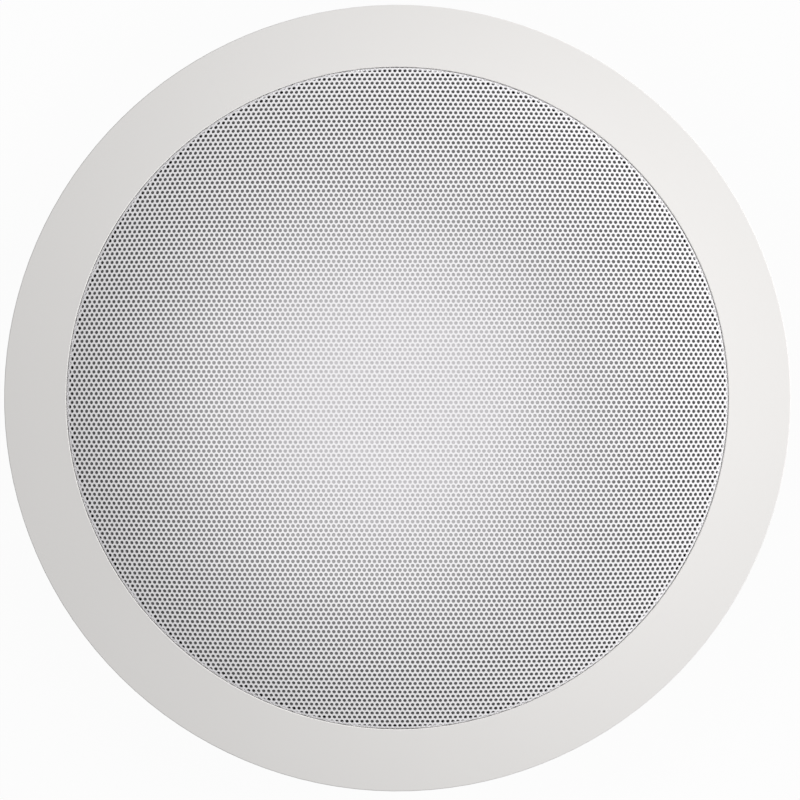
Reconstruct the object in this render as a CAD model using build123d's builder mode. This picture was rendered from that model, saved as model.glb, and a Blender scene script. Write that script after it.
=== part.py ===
from build123d import *
import os
from math import ceil, cos, hypot, radians, sin, sqrt

# Two-way coaxial loudspeaker for a cut-out in a ceiling board, in millimetres.
# The axis is Z. The room face of the board is z = 0, sound leaves along +Z,
# and the motor and clamps stand behind the board along -Z.

# Clearances
running_clearance = 0.1  # radial, round a screw that turns
fixing_clearance = 0.05  # radial, round a screw or stud that is driven home
glue_line = 0.1  # between cloth and the sheet that it is glued to
slide_clearance = 0.3  # each side of a piece that drops or slides in
grille_clearance = 0.1  # radial, round the rim of the grille
coil_clearance = 0.5  # radial, each side of the voice coil in its gap

# Front moulding
flange_width = 18.6  # from the grille opening to the outer edge
flange_edge = 2.6  # height of the outer edge
flange_rise = 3.0  # how much the face rises towards the grille
edge_round = 0.3
lip_round = 0.25
flange_wall = 2.2  # even wall over the relief in the flange's back
flange_land = 1.5  # flange beside the spigot, before the relief
flange_rib_count = 24
flange_rib = 1.4
seat_width = 5.0  # flat outer ring of the back that lies on the board
spigot_wall = 2.8  # wall that goes through the cut-out
baffle_recess = 8.0  # front of the baffle behind the room face
baffle_wall = 3.0
groove_width = 1.2  # groove that takes the grille rim
groove_depth = 3.0
upstand_wall = 1.5  # ring inside the groove
upstand_height = 4.0
relief_width = 2.0  # back relief that keeps the spigot wall even
relief_depth = 5.4

# Perforated grille, one formed sheet
grille_sheet = 0.6
grille_shoulder = 42.0  # width of the arched shoulder round the flat middle
grille_rise = 6.4  # flat middle above the rim bend
grille_set = 0.1  # rim bend below the lip of the moulding
grille_bend = 0.8
perforation_pitch = 15.5
perforation_flats = 9.9  # across the flats of one opening
perforation_border = 2.0
scrim_cloth = 0.5

# Woofer
woofer_diameter = 166.0
basket_sheet = 1.2
basket_flange = 13.0
basket_rim_depth = 6.0
basket_rim_draft = 1.5
basket_depth = 46.0  # baffle to the motor
basket_window_count = 6
basket_window_angle = 41.0
basket_window_border = 4.0
basket_window_round = 3.0
basket_bead = 0.8  # how far the bead along each spoke stands out
basket_bead_angle = 7.0
ledge_height = 12.0  # spider ledge above the motor
ledge_width = 7.0
foot_radius = 39.0
foot_hole = 19.0
baffle_overlap = 9.0  # basket flange on the baffle
surround_sheet = 0.8
surround_roll = 12.4  # width of the half roll
surround_edge = 3.0  # glued edge on the cone
cone_sheet = 0.8
neck_lift = 2.0  # cone neck above the spider
cone_travel = 4.0
gasket_height = 1.6
spider_sheet = 0.5
spider_wave = 1.4
spider_fold_count = 7
spider_collar = 2.0  # flat ring glued to the former
coil_radius = 13.0  # inside of the former
former_wall = 0.3
winding_wall = 0.6
winding_height = 12.0
former_tail = 3.0  # former below the winding

# Motor
top_plate_radius = 42.0
top_plate_height = 6.0
magnet_radius = 45.0
magnet_bore = 20.0
magnet_height = 16.0
yoke_radius = 40.0
yoke_height = 6.0
motor_chamfer = 1.0

# Tweeter on a post through the pole
post_radius = 6.0
stud_radius = 4.0
nut_flats = 13.0
nut_height = 4.0
nut_recess = 5.0
cup_radius = 19.0
cup_wall = 1.6
cup_floor = 2.0
tweeter_clearance = 3.0  # under the cup when the cone is fully forward
pot_wall = 2.4
pot_floor = 2.5
pot_height = 10.5
tweeter_magnet_radius = 9.6
tweeter_magnet_height = 5.0
tweeter_plate_radius = 10.4
tweeter_plate_height = 3.0
dome_radius = 11.6
dome_height = 5.4
dome_sheet = 0.5
dome_skirt = 2.6
face_ring_height = 3.0
face_ring_flare = 2.0

# Swing-out clamps
clamp_count = 4
clamp_first_angle = 45.0
clamp_screw_radius = 2.1
clamp_head_radius = 3.9
clamp_head_height = 2.6
clamp_head_gap = 2.2  # from the head to the basket, and to the upstand
clamp_tip = 1.5  # screw beyond its end bridge
driver_slot = 1.1
driver_slot_depth = 1.5
dog_half_width = 5.2
dog_reach = 23.5
dog_hub_height = 14.0
dog_arm_height = 6.0
dog_web = 2.4
dog_pad_length = 8.0
dog_pad_height = 2.5
dog_tooth = 0.8
dog_tooth_count = 3
dog_travel = 32.0
dog_top_gap = 1.2  # under the baffle at full draw
tower_wall = 2.4
tower_back_length = 16.0
tower_side_length = 7.0
tower_round = 0.8
gusset_width = 6.0  # triangular ribs under the baffle, behind each upright wall
gusset_height = 18.0
gusset_wall = 1.8
gusset_inset = 3.0  # from the end of a wall to the middle of its gusset
bridge_height = 3.0

# Fasteners
woofer_screw_radius = 1.5
woofer_screw_length = 10.0
woofer_head_radius = 3.0
woofer_head_height = 2.0
woofer_screw_count = 4
boss_wall = 2.0
boss_floor = 1.2
board_screw_radius = 1.2
board_head_radius = 2.4
board_head_height = 1.5

# Crossover board, at the -Y side, on an upright wall of the moulding
crossover_angle = 270.0
shelf_gap = 0.8  # from the screw bosses to the upright wall
shelf_wall = 2.4
shelf_round = 3.0
board_width = 50.0
board_height = 35.0
board_sheet = 1.6
board_margin = 2.0
board_drop = 4.0  # below the baffle
standoff_height = 1.6
standoff_radius = 2.6
board_screw_inset = 4.0
coil_former_radius = 10.0
coil_former_height = 8.0
coil_former_cheek = 1.0
coil_core_radius = 4.0
capacitor_width = 9.0
capacitor_length = 22.0
capacitor_height = 8.5
resistor_width = 7.0
resistor_length = 22.0
resistor_height = 6.5
component_gap = 1.5
component_round = 0.8

# Push terminal, at the +Y side, on an upright wall of the moulding
terminal_angle = 90.0
terminal_width = 30.0
terminal_depth = 12.0
terminal_height = 21.0
terminal_drop = 14.0  # below the baffle
terminal_round = 1.0
button_width = 9.0
button_depth = 6.0
button_length = 11.0
button_stand = 4.0  # proud of the block
button_travel = 2.5
button_round = 0.8
wire_port = 3.0
wire_port_depth = 9.0

# Levels along the axis
lip_z = flange_edge + flange_rise
groove_z = -groove_depth
baffle_front = -baffle_recess
baffle_back = baffle_front - baffle_wall
motor_z = baffle_front - basket_depth
ledge_z = motor_z + ledge_height
basket_top = baffle_front + basket_sheet
spider_z = ledge_z + basket_sheet
neck_z = spider_z + neck_lift
magnet_z = motor_z - top_plate_height
yoke_z = magnet_z - magnet_height
rest_z = yoke_z - yoke_height

# Radii, built up from the woofer to the outer edge
woofer_radius = woofer_diameter / 2
rim_radius = woofer_radius - basket_flange
opening_radius = woofer_radius - baffle_overlap
woofer_screw_circle = woofer_radius - baffle_overlap / 2
clamp_circle = woofer_radius + clamp_head_gap + clamp_head_radius
upstand_inside = clamp_circle + clamp_head_radius + clamp_head_gap
groove_inside = upstand_inside + upstand_wall
lip_radius = groove_inside + groove_width
spigot_radius = lip_radius + spigot_wall
bezel_radius = lip_radius + flange_width
clamp_angles = [clamp_first_angle + 360 / clamp_count * i for i in range(clamp_count)]
woofer_screw_angles = [360 / woofer_screw_count * i for i in range(woofer_screw_count)]


def level_plane(radius, angle, height):
    """Level plane at a polar place: its x points outwards, its y round the axis."""
    turn = radians(angle)
    place = (radius * cos(turn), radius * sin(turn), height)
    return Plane(place, x_dir=(cos(turn), sin(turn), 0), z_dir=(0, 0, 1))


def upright_plane(radius, angle):
    """Upright plane that faces outwards: its x points round the axis, its y up."""
    turn = radians(angle)
    place = (radius * cos(turn), radius * sin(turn), 0)
    return Plane(place, x_dir=(-sin(turn), cos(turn), 0), z_dir=(cos(turn), sin(turn), 0))


def radial_plane(angle, side):
    """Upright plane along a radius, moved to one side: its x points outwards, its y up."""
    turn = radians(angle)
    place = (-side * sin(turn), side * cos(turn), 0)
    return Plane(place, x_dir=(cos(turn), sin(turn), 0), z_dir=(sin(turn), -cos(turn), 0))


def face_level(radius):
    """Height of the sloping front face of the flange at a radius."""
    return flange_edge + flange_rise * (bezel_radius - radius) / flange_width


def cap_level(radius, rim, rise, depth=0):
    """Height of a spherical cap over its rim at a radius, a depth below its outer face."""
    sphere = (rim**2 + rise**2) / (2 * rise)
    return sqrt((sphere - depth) ** 2 - radius**2) - (sphere - rise)


def folded_sheet(points, gauge):
    """Closed outline of a sheet folded along points, with its thickness on the right."""
    normals = []
    for (x0, z0), (x1, z1) in zip(points, points[1:]):
        run = hypot(x1 - x0, z1 - z0)
        normals.append(((z1 - z0) / run, (x0 - x1) / run))
    far_side = []
    for i, (x, z) in enumerate(points):
        nx0, nz0 = normals[max(i - 1, 0)]
        nx1, nz1 = normals[min(i, len(normals) - 1)]
        mitre = gauge / (1 + nx0 * nx1 + nz0 * nz1)
        far_side.append((x + (nx0 + nx1) * mitre, z + (nz0 + nz1) * mitre))
    return points + far_side[::-1]


os.makedirs("parts", exist_ok=True)

# Front moulding: bezel, spigot, groove for the grille and baffle in one section
clamp_tower_end = (
    baffle_back - dog_top_gap - dog_pad_height - dog_travel - dog_hub_height - slide_clearance - bridge_height
)
dog_stop = dog_half_width + slide_clearance
tower_corner = -dog_stop - tower_wall
relief_inside = spigot_radius + flange_land
relief_outside = bezel_radius - seat_width
rib_top = (face_level(relief_outside) + face_level(relief_inside) - flange_wall) / 2
boss_radius = woofer_screw_radius + boss_wall
boss_depth = basket_top - woofer_screw_length - boss_floor
shelf_radius = woofer_screw_circle + boss_radius + shelf_gap
shelf_face = shelf_radius + shelf_wall
board_back = shelf_face + standoff_height
board_face = board_back + board_sheet
board_mid = baffle_back - board_drop - board_height / 2
terminal_top = baffle_back - terminal_drop
terminal_back = terminal_top - terminal_height
board_screw_x = board_width / 2 - board_screw_inset
board_screw_y = board_height / 2 - board_screw_inset
shelf_width = board_width + 2 * board_margin
gussets = [
    (angle, side, clamp_circle + tower_corner)
    for angle in clamp_angles
    for side in (tower_corner + gusset_inset, tower_back_length - gusset_inset)
]
for angle, width in ((crossover_angle, shelf_width), (terminal_angle, terminal_width)):
    gussets.append((angle, width / 2 - gusset_inset, shelf_radius))
    gussets.append((angle, gusset_inset - width / 2, shelf_radius))

with BuildPart() as bezel_frame:
    with BuildSketch(Plane.XZ) as frame_section:
        with BuildLine():
            Polyline(
                (bezel_radius, 0),
                (bezel_radius, flange_edge),
                (lip_radius, lip_z),
                (lip_radius, groove_z),
                (groove_inside, groove_z),
                (groove_inside, groove_z + upstand_height),
                (upstand_inside, groove_z + upstand_height),
                (upstand_inside, baffle_front),
                (opening_radius, baffle_front),
                (opening_radius, baffle_back),
                (groove_inside, baffle_back),
                (groove_inside, baffle_back + relief_depth),
                (groove_inside + relief_width, baffle_back + relief_depth),
                (groove_inside + relief_width, baffle_back),
                (spigot_radius, baffle_back),
                (spigot_radius, 0),
                (relief_inside, 0),
                (relief_inside, face_level(relief_inside) - flange_wall),
                (relief_outside, face_level(relief_outside) - flange_wall),
                (relief_outside, 0),
                close=True,
            )
        make_face()
        fillet(frame_section.vertices().sort_by_distance((bezel_radius, flange_edge))[0], edge_round)
        fillet(frame_section.vertices().sort_by_distance((lip_radius, lip_z))[0], lip_round)
    revolve(axis=Axis.Z)

    # Ribs across the relief, into the walls at both ends and over it
    for i in range(flange_rib_count):
        with BuildSketch(level_plane((relief_inside + relief_outside) / 2, 360 / flange_rib_count * i, 0)):
            Rectangle(relief_outside - relief_inside + flange_land, flange_rib)
        extrude(amount=rib_top)

    # L-shaped clamp towers: one wall stops the folded dog, the other the dog that is out
    for angle in clamp_angles:
        with BuildSketch(level_plane(clamp_circle, angle, baffle_back)) as tower_section:
            with Locations((tower_corner, tower_corner)):
                Rectangle(tower_wall, tower_back_length - tower_corner, align=Align.MIN)
                Rectangle(tower_side_length - tower_corner, tower_wall, align=Align.MIN)
            fillet(tower_section.vertices(), tower_round)
        extrude(amount=clamp_tower_end - baffle_back)
        with BuildSketch(level_plane(clamp_circle, angle, clamp_tower_end)) as bridge_section:
            with Locations((tower_corner, tower_corner)):
                Rectangle(dog_half_width - tower_corner, dog_half_width - tower_corner, align=Align.MIN)
            fillet(bridge_section.vertices(), tower_round)
        extrude(amount=bridge_height)
        with BuildSketch(level_plane(clamp_circle, angle, baffle_front)):
            Circle(clamp_screw_radius + running_clearance)
        extrude(amount=clamp_tower_end - baffle_front, mode=Mode.SUBTRACT)

    # Bosses for the woofer screws
    for angle in woofer_screw_angles:
        with BuildSketch(level_plane(woofer_screw_circle, angle, boss_depth)):
            Circle(boss_radius)
        extrude(amount=baffle_back - boss_depth)
        with BuildSketch(level_plane(woofer_screw_circle, angle, baffle_front)):
            Circle(woofer_screw_radius + fixing_clearance)
        extrude(amount=boss_depth + boss_floor - baffle_front, mode=Mode.SUBTRACT)

    # Upright walls for the crossover board and the terminal
    with BuildSketch(upright_plane(shelf_radius, crossover_angle)) as shelf_section:
        with Locations((0, baffle_back)):
            Rectangle(
                shelf_width,
                board_drop + board_height + board_margin,
                align=(Align.CENTER, Align.MAX),
            )
        fillet(shelf_section.vertices().group_by(Axis.Y)[0], shelf_round)
    extrude(amount=shelf_wall)
    with BuildSketch(upright_plane(shelf_face, crossover_angle)):
        with Locations((0, board_mid)):
            with GridLocations(2 * board_screw_x, 2 * board_screw_y, 2, 2):
                Circle(standoff_radius)
    extrude(amount=standoff_height)
    with BuildSketch(upright_plane(board_back, crossover_angle)):
        with Locations((0, board_mid)):
            with GridLocations(2 * board_screw_x, 2 * board_screw_y, 2, 2):
                Circle(board_screw_radius + fixing_clearance)
    extrude(amount=shelf_radius - board_back, mode=Mode.SUBTRACT)
    with BuildSketch(upright_plane(shelf_radius, terminal_angle)):
        with Locations((0, baffle_back)):
            Rectangle(terminal_width, baffle_back - terminal_back, align=(Align.CENTER, Align.MAX))
    extrude(amount=shelf_wall)

    # Gussets behind the upright walls
    for angle, side, wall_radius in gussets:
        with BuildSketch(radial_plane(angle, side)):
            with BuildLine():
                Polyline(
                    (wall_radius, baffle_back),
                    (wall_radius - gusset_width, baffle_back),
                    (wall_radius, baffle_back - gusset_height),
                    close=True,
                )
            make_face()
        extrude(amount=gusset_wall / 2, both=True)
bezel_frame.part.label = "bezel_frame"
export_step(bezel_frame.part, "parts/bezel_frame.step")

# Grille: sheet with a flat middle, an arched shoulder and a rim bent down into the groove,
# perforated in staggered rows.
# One opening stands for many of the fine holes of the real sheet, with the same open share.
grille_radius = lip_radius - grille_clearance
grille_edge_z = lip_z - grille_set
grille_flat = grille_radius - grille_shoulder


def dome_level(radius, depth):
    """Height of the arched sheet at a radius, measured a depth below its outer face."""
    return grille_edge_z + cap_level(max(radius - grille_flat, 0), grille_shoulder, grille_rise, depth)


row_pitch = perforation_pitch * sqrt(3) / 2
field_radius = grille_radius - grille_bend - perforation_border - perforation_flats / sqrt(3)
row_reach = ceil(field_radius / row_pitch)
perforations = [
    ((column + row % 2 / 2) * perforation_pitch, row * row_pitch)
    for row in range(-row_reach, row_reach + 1)
    for column in range(-row_reach - 1, row_reach + 1)
    if hypot((column + row % 2 / 2) * perforation_pitch, row * row_pitch) <= field_radius
]

with BuildPart() as grille:
    with BuildSketch(Plane.XZ) as grille_section:
        with BuildLine():
            inner_radius = grille_radius - grille_sheet
            shoulder_middle = (grille_flat + inner_radius) / 2
            outer_flat = Line((0, dome_level(0, 0)), (grille_flat, dome_level(0, 0)))
            outer_dome = ThreePointArc(
                outer_flat @ 1,
                (shoulder_middle, dome_level(shoulder_middle, 0)),
                (grille_radius, grille_edge_z),
            )
            inner_dome = ThreePointArc(
                (inner_radius, dome_level(inner_radius, grille_sheet)),
                (shoulder_middle, dome_level(shoulder_middle, grille_sheet)),
                (grille_flat, dome_level(0, grille_sheet)),
            )
            Polyline(outer_dome @ 1, (grille_radius, groove_z), (inner_radius, groove_z), inner_dome @ 0)
            Polyline(inner_dome @ 1, (0, dome_level(0, grille_sheet)), outer_flat @ 0)
        make_face()
        fillet(grille_section.vertices().sort_by_distance(outer_dome @ 1)[0], grille_bend)
        fillet(grille_section.vertices().sort_by_distance(inner_dome @ 0)[0], grille_bend - grille_sheet)
    revolve(axis=Axis.Z)
    with BuildSketch(Plane.XY.offset(groove_z)):
        with Locations(*perforations):
            RegularPolygon(perforation_flats / 2, 6, major_radius=False, rotation=30)
    extrude(amount=dome_level(0, 0) - groove_z, mode=Mode.SUBTRACT)
grille.part.label = "grille"
export_step(grille.part, "parts/grille.step")

# Scrim: acoustic cloth glued inside the dome
scrim_top = grille_sheet + glue_line
scrim_back = scrim_top + scrim_cloth
scrim_radius = grille_radius - grille_bend - perforation_border / 2

with BuildPart() as grille_scrim:
    with BuildSketch(Plane.XZ):
        with BuildLine():
            scrim_middle = (grille_flat + scrim_radius) / 2
            cloth_flat = Line((0, dome_level(0, scrim_top)), (grille_flat, dome_level(0, scrim_top)))
            cloth_face = ThreePointArc(
                cloth_flat @ 1,
                (scrim_middle, dome_level(scrim_middle, scrim_top)),
                (scrim_radius, dome_level(scrim_radius, scrim_top)),
            )
            cloth_back = ThreePointArc(
                (scrim_radius, dome_level(scrim_radius, scrim_back)),
                (scrim_middle, dome_level(scrim_middle, scrim_back)),
                (grille_flat, dome_level(0, scrim_back)),
            )
            Line(cloth_face @ 1, cloth_back @ 0)
            Polyline(cloth_back @ 1, (0, dome_level(0, scrim_back)), cloth_flat @ 0)
        make_face()
    revolve(axis=Axis.Z)
grille_scrim.part.label = "grille_scrim"
export_step(grille_scrim.part, "parts/grille_scrim.step")

# Woofer basket: pressed sheet with windows between its spokes and a bead along each spoke
basket_line = [
    (woofer_radius, baffle_front),
    (rim_radius, baffle_front),
    (rim_radius - basket_rim_draft, baffle_front - basket_rim_depth),
    (foot_radius + ledge_width, ledge_z),
    (foot_radius, ledge_z),
    (foot_radius, motor_z),
    (foot_hole, motor_z),
]
window_top = baffle_front - basket_rim_depth - basket_window_border
window_bottom = ledge_z + basket_window_border
wall_top, wall_foot = basket_line[2:4]
wall_slope = (wall_top[0] - wall_foot[0]) / (wall_top[1] - wall_foot[1])
spoke_line = [(wall_foot[0] + wall_slope * (z - wall_foot[1]), z) for z in (window_top, window_bottom)]
bead_ridge = folded_sheet(spoke_line, -basket_bead)
bead_groove = folded_sheet(folded_sheet(spoke_line, basket_sheet - basket_bead)[:1:-1], basket_bead)
window_reach = sin(radians(basket_window_angle / 2))
window_side = [(radius * window_reach, z) for radius, z in spoke_line]
window_outline = window_side + [(-x, z) for x, z in window_side[::-1]]

with BuildPart() as woofer_basket:
    with BuildSketch(Plane.XZ):
        with BuildLine():
            Polyline(*folded_sheet(basket_line, basket_sheet), close=True)
        make_face()
    revolve(axis=Axis.Z)
    for i in range(basket_window_count):
        window_plane = upright_plane(foot_radius, 360 / basket_window_count * (i + 0.5))
        with BuildSketch(window_plane) as window_section:
            with BuildLine():
                Polyline(*window_outline, close=True)
            make_face()
            fillet(window_section.vertices(), basket_window_round)
        extrude(amount=rim_radius - foot_radius, mode=Mode.SUBTRACT)
    for i in range(basket_window_count):
        bead_start = Plane.XZ.rotated((0, 0, 360 / basket_window_count * i - basket_bead_angle / 2))
        for outline, mode in ((bead_ridge, Mode.ADD), (bead_groove, Mode.SUBTRACT)):
            with BuildSketch(bead_start):
                with BuildLine():
                    Polyline(*outline, close=True)
                make_face()
            revolve(axis=Axis.Z, revolution_arc=basket_bead_angle, mode=mode)
    for angle in woofer_screw_angles:
        with BuildSketch(level_plane(woofer_screw_circle, angle, baffle_front)):
            Circle(woofer_screw_radius + slide_clearance)
        extrude(amount=basket_sheet, mode=Mode.SUBTRACT)
woofer_basket.part.label = "woofer_basket"
export_step(woofer_basket.part, "parts/woofer_basket.step")

# Surround: half roll from the basket flange to the edge of the cone
roll_radius = surround_roll / 2
roll_middle = rim_radius - roll_radius
cone_rim = rim_radius - surround_roll
gasket_radius = woofer_screw_circle - woofer_head_radius - slide_clearance
surround_top = basket_top + surround_sheet

with BuildPart() as woofer_surround:
    with BuildSketch(Plane.XZ):
        with Locations((roll_middle, basket_top)):
            Circle(roll_radius + surround_sheet)
            Circle(roll_radius, mode=Mode.SUBTRACT)
            Rectangle(
                4 * roll_radius,
                2 * roll_radius,
                align=(Align.CENTER, Align.MAX),
                mode=Mode.SUBTRACT,
            )
        with Locations((rim_radius, basket_top)):
            Rectangle(gasket_radius - rim_radius, surround_sheet, align=Align.MIN)
        with Locations((cone_rim, basket_top)):
            Rectangle(surround_edge, surround_sheet, align=(Align.MAX, Align.MIN))
    revolve(axis=Axis.Z)
woofer_surround.part.label = "woofer_surround"
export_step(woofer_surround.part, "parts/woofer_surround.step")

# Gasket ring over the glued edge of the surround
with BuildPart() as woofer_gasket:
    with BuildSketch(Plane.XY.offset(surround_top)):
        Circle(gasket_radius)
        Circle(rim_radius + surround_sheet + slide_clearance, mode=Mode.SUBTRACT)
    extrude(amount=gasket_height)
woofer_gasket.part.label = "woofer_gasket"
export_step(woofer_gasket.part, "parts/woofer_gasket.step")

# Cone: straight paper wall with a flat edge under the surround
former_outside = coil_radius + former_wall
cone_neck = former_outside + fixing_clearance
cone_edge_z = basket_top - cone_sheet
cone_edge = cone_rim - surround_edge

with BuildPart() as woofer_cone:
    with BuildSketch(Plane.XZ):
        with BuildLine():
            Polyline(
                (cone_neck, neck_z),
                (cone_edge, cone_edge_z),
                (cone_rim, cone_edge_z),
                (cone_rim, basket_top),
                (cone_edge, basket_top),
                (cone_neck, neck_z + cone_sheet),
                close=True,
            )
        make_face()
    revolve(axis=Axis.Z)
woofer_cone.part.label = "woofer_cone"
export_step(woofer_cone.part, "parts/woofer_cone.step")

# Voice coil: former tube with its winding centred on the top plate
winding_middle = motor_z - top_plate_height / 2
winding_foot = winding_middle - winding_height / 2
winding_outside = former_outside + winding_wall

with BuildPart() as voice_coil_former:
    with BuildSketch(Plane.XY.offset(winding_foot - former_tail)):
        Circle(former_outside)
        Circle(coil_radius, mode=Mode.SUBTRACT)
    extrude(amount=neck_z + cone_sheet - winding_foot + former_tail)
voice_coil_former.part.label = "voice_coil_former"
export_step(voice_coil_former.part, "parts/voice_coil_former.step")

with BuildPart() as voice_coil_winding:
    with BuildSketch(Plane.XY.offset(winding_foot)):
        Circle(winding_outside)
        Circle(former_outside, mode=Mode.SUBTRACT)
    extrude(amount=winding_height)
voice_coil_winding.part.label = "voice_coil_winding"
export_step(voice_coil_winding.part, "parts/voice_coil_winding.step")

# Spider: corrugated cloth disc from the former to the basket ledge
spider_inside = former_outside + fixing_clearance
spider_flat = foot_radius + basket_sheet
fold_length = (spider_flat - spider_inside - spider_collar) / (spider_fold_count + 1)
spider_line = [(foot_radius + ledge_width - basket_sheet, spider_z), (spider_flat, spider_z)]
for i in range(spider_fold_count):
    spider_line.append((spider_flat - fold_length * (i + 1), spider_z + spider_wave * ((i + 1) % 2)))
spider_line += [(spider_inside + spider_collar, spider_z), (spider_inside, spider_z)]

with BuildPart() as spider:
    with BuildSketch(Plane.XZ):
        with BuildLine():
            Polyline(*folded_sheet(spider_line, spider_sheet), close=True)
        make_face()
    revolve(axis=Axis.Z)
spider.part.label = "spider"
export_step(spider.part, "parts/spider.step")

# Motor: top plate, ring magnet and a yoke whose pole carries the tweeter post
pole_radius = coil_radius - coil_clearance

with BuildPart() as top_plate:
    with BuildSketch(Plane.XY.offset(magnet_z)):
        Circle(top_plate_radius)
        Circle(winding_outside + coil_clearance, mode=Mode.SUBTRACT)
    extrude(amount=top_plate_height)
    chamfer(top_plate.edges().filter_by(GeomType.CIRCLE).group_by(SortBy.RADIUS)[-1], motor_chamfer)
top_plate.part.label = "top_plate"
export_step(top_plate.part, "parts/top_plate.step")

with BuildPart() as magnet:
    with BuildSketch(Plane.XY.offset(yoke_z)):
        Circle(magnet_radius)
        Circle(magnet_bore, mode=Mode.SUBTRACT)
    extrude(amount=magnet_height)
    chamfer(magnet.edges().filter_by(GeomType.CIRCLE).group_by(SortBy.RADIUS)[-1], motor_chamfer)
magnet.part.label = "magnet"
export_step(magnet.part, "parts/magnet.step")

with BuildPart() as yoke:
    with BuildSketch(Plane.XZ):
        with BuildLine():
            Polyline(
                (stud_radius + fixing_clearance, motor_z),
                (pole_radius, motor_z),
                (pole_radius, yoke_z),
                (yoke_radius, yoke_z),
                (yoke_radius, rest_z + motor_chamfer),
                (yoke_radius - motor_chamfer, rest_z),
                (nut_flats / sqrt(3) + slide_clearance, rest_z),
                (nut_flats / sqrt(3) + slide_clearance, rest_z + nut_recess),
                (stud_radius + fixing_clearance, rest_z + nut_recess),
                close=True,
            )
        make_face()
    revolve(axis=Axis.Z)
yoke.part.label = "yoke"
export_step(yoke.part, "parts/yoke.step")

# Tweeter: post and nut, cup, motor, dome and face ring
flare_slope = (cone_edge_z - neck_z) / (cone_edge - cone_neck)
cup_z = neck_z + cone_sheet + flare_slope * (cup_radius - cone_neck) + cone_travel + tweeter_clearance
pot_z = cup_z + cup_floor
pot_top = pot_z + pot_height
pot_radius = cup_radius - cup_wall - slide_clearance
pot_inside = pot_radius - pot_wall
cup_top = pot_top + dome_sheet

with BuildPart() as tweeter_post:
    with BuildSketch(Plane.XY.offset(rest_z + nut_recess - nut_height)):
        Circle(stud_radius)
    extrude(amount=motor_z - rest_z - nut_recess + nut_height)
    with BuildSketch(Plane.XY.offset(motor_z)):
        Circle(post_radius)
    extrude(amount=cup_z - motor_z)
tweeter_post.part.label = "tweeter_post"
export_step(tweeter_post.part, "parts/tweeter_post.step")

with BuildPart() as tweeter_nut:
    with BuildSketch(Plane.XY.offset(rest_z + nut_recess - nut_height)):
        RegularPolygon(nut_flats / 2, 6, major_radius=False)
        Circle(stud_radius + fixing_clearance, mode=Mode.SUBTRACT)
    extrude(amount=nut_height)
tweeter_nut.part.label = "tweeter_nut"
export_step(tweeter_nut.part, "parts/tweeter_nut.step")

with BuildPart() as tweeter_cup:
    with BuildSketch(Plane.XY.offset(cup_z)):
        Circle(cup_radius)
    extrude(amount=cup_top - cup_z)
    fillet(tweeter_cup.faces().sort_by(Axis.Z)[0].edges(), cup_wall)
    with BuildSketch(Plane.XY.offset(pot_z)):
        Circle(cup_radius - cup_wall)
    extrude(amount=cup_top - pot_z, mode=Mode.SUBTRACT)
tweeter_cup.part.label = "tweeter_cup"
export_step(tweeter_cup.part, "parts/tweeter_cup.step")

with BuildPart() as tweeter_pot:
    with BuildSketch(Plane.XY.offset(pot_z)):
        Circle(pot_radius)
    extrude(amount=pot_height)
    with BuildSketch(Plane.XY.offset(pot_z + pot_floor)):
        Circle(pot_inside)
    extrude(amount=pot_height - pot_floor, mode=Mode.SUBTRACT)
tweeter_pot.part.label = "tweeter_pot"
export_step(tweeter_pot.part, "parts/tweeter_pot.step")

with BuildPart() as tweeter_magnet:
    with BuildSketch(Plane.XY.offset(pot_z + pot_floor)):
        Circle(tweeter_magnet_radius)
    extrude(amount=tweeter_magnet_height)
tweeter_magnet.part.label = "tweeter_magnet"
export_step(tweeter_magnet.part, "parts/tweeter_magnet.step")

with BuildPart() as tweeter_plate:
    with BuildSketch(Plane.XY.offset(pot_z + pot_floor + tweeter_magnet_height)):
        Circle(tweeter_plate_radius)
    extrude(amount=tweeter_plate_height)
tweeter_plate.part.label = "tweeter_plate"
export_step(tweeter_plate.part, "parts/tweeter_plate.step")

with BuildPart() as tweeter_dome:
    with BuildSketch(Plane.XZ):
        with BuildLine():
            dome_inner = dome_radius - dome_sheet
            dome_outside = ThreePointArc(
                (0, cup_top + dome_height),
                (dome_radius / 2, cup_top + cap_level(dome_radius / 2, dome_radius, dome_height)),
                (dome_radius, cup_top),
            )
            dome_inside = ThreePointArc(
                (dome_inner, cup_top),
                (dome_inner / 2, cup_top + cap_level(dome_inner / 2, dome_inner, dome_height - dome_sheet)),
                (0, cup_top + dome_height - dome_sheet),
            )
            Polyline(
                dome_outside @ 1,
                (pot_radius, cup_top),
                (pot_radius, pot_top),
                (dome_radius, pot_top),
                (dome_radius, pot_top - dome_skirt),
                (dome_inner, pot_top - dome_skirt),
                dome_inside @ 0,
            )
            Line(dome_inside @ 1, dome_outside @ 0)
        make_face()
    revolve(axis=Axis.Z)
tweeter_dome.part.label = "tweeter_dome"
export_step(tweeter_dome.part, "parts/tweeter_dome.step")

with BuildPart() as tweeter_face:
    with BuildSketch(Plane.XY.offset(cup_top)):
        Circle(cup_radius)
        Circle(pot_inside, mode=Mode.SUBTRACT)
    extrude(amount=face_ring_height)
    chamfer(tweeter_face.faces().sort_by(Axis.Z)[-1].edges().sort_by(SortBy.RADIUS)[0], face_ring_flare)
tweeter_face.part.label = "tweeter_face"
export_step(tweeter_face.part, "parts/tweeter_face.step")

# Clamps: a screw that stays in its tower, and a dog that swings out and climbs it
dog_top = baffle_back - dog_top_gap - dog_pad_height - dog_travel
tooth_pitch = dog_pad_length / dog_tooth_count

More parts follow.
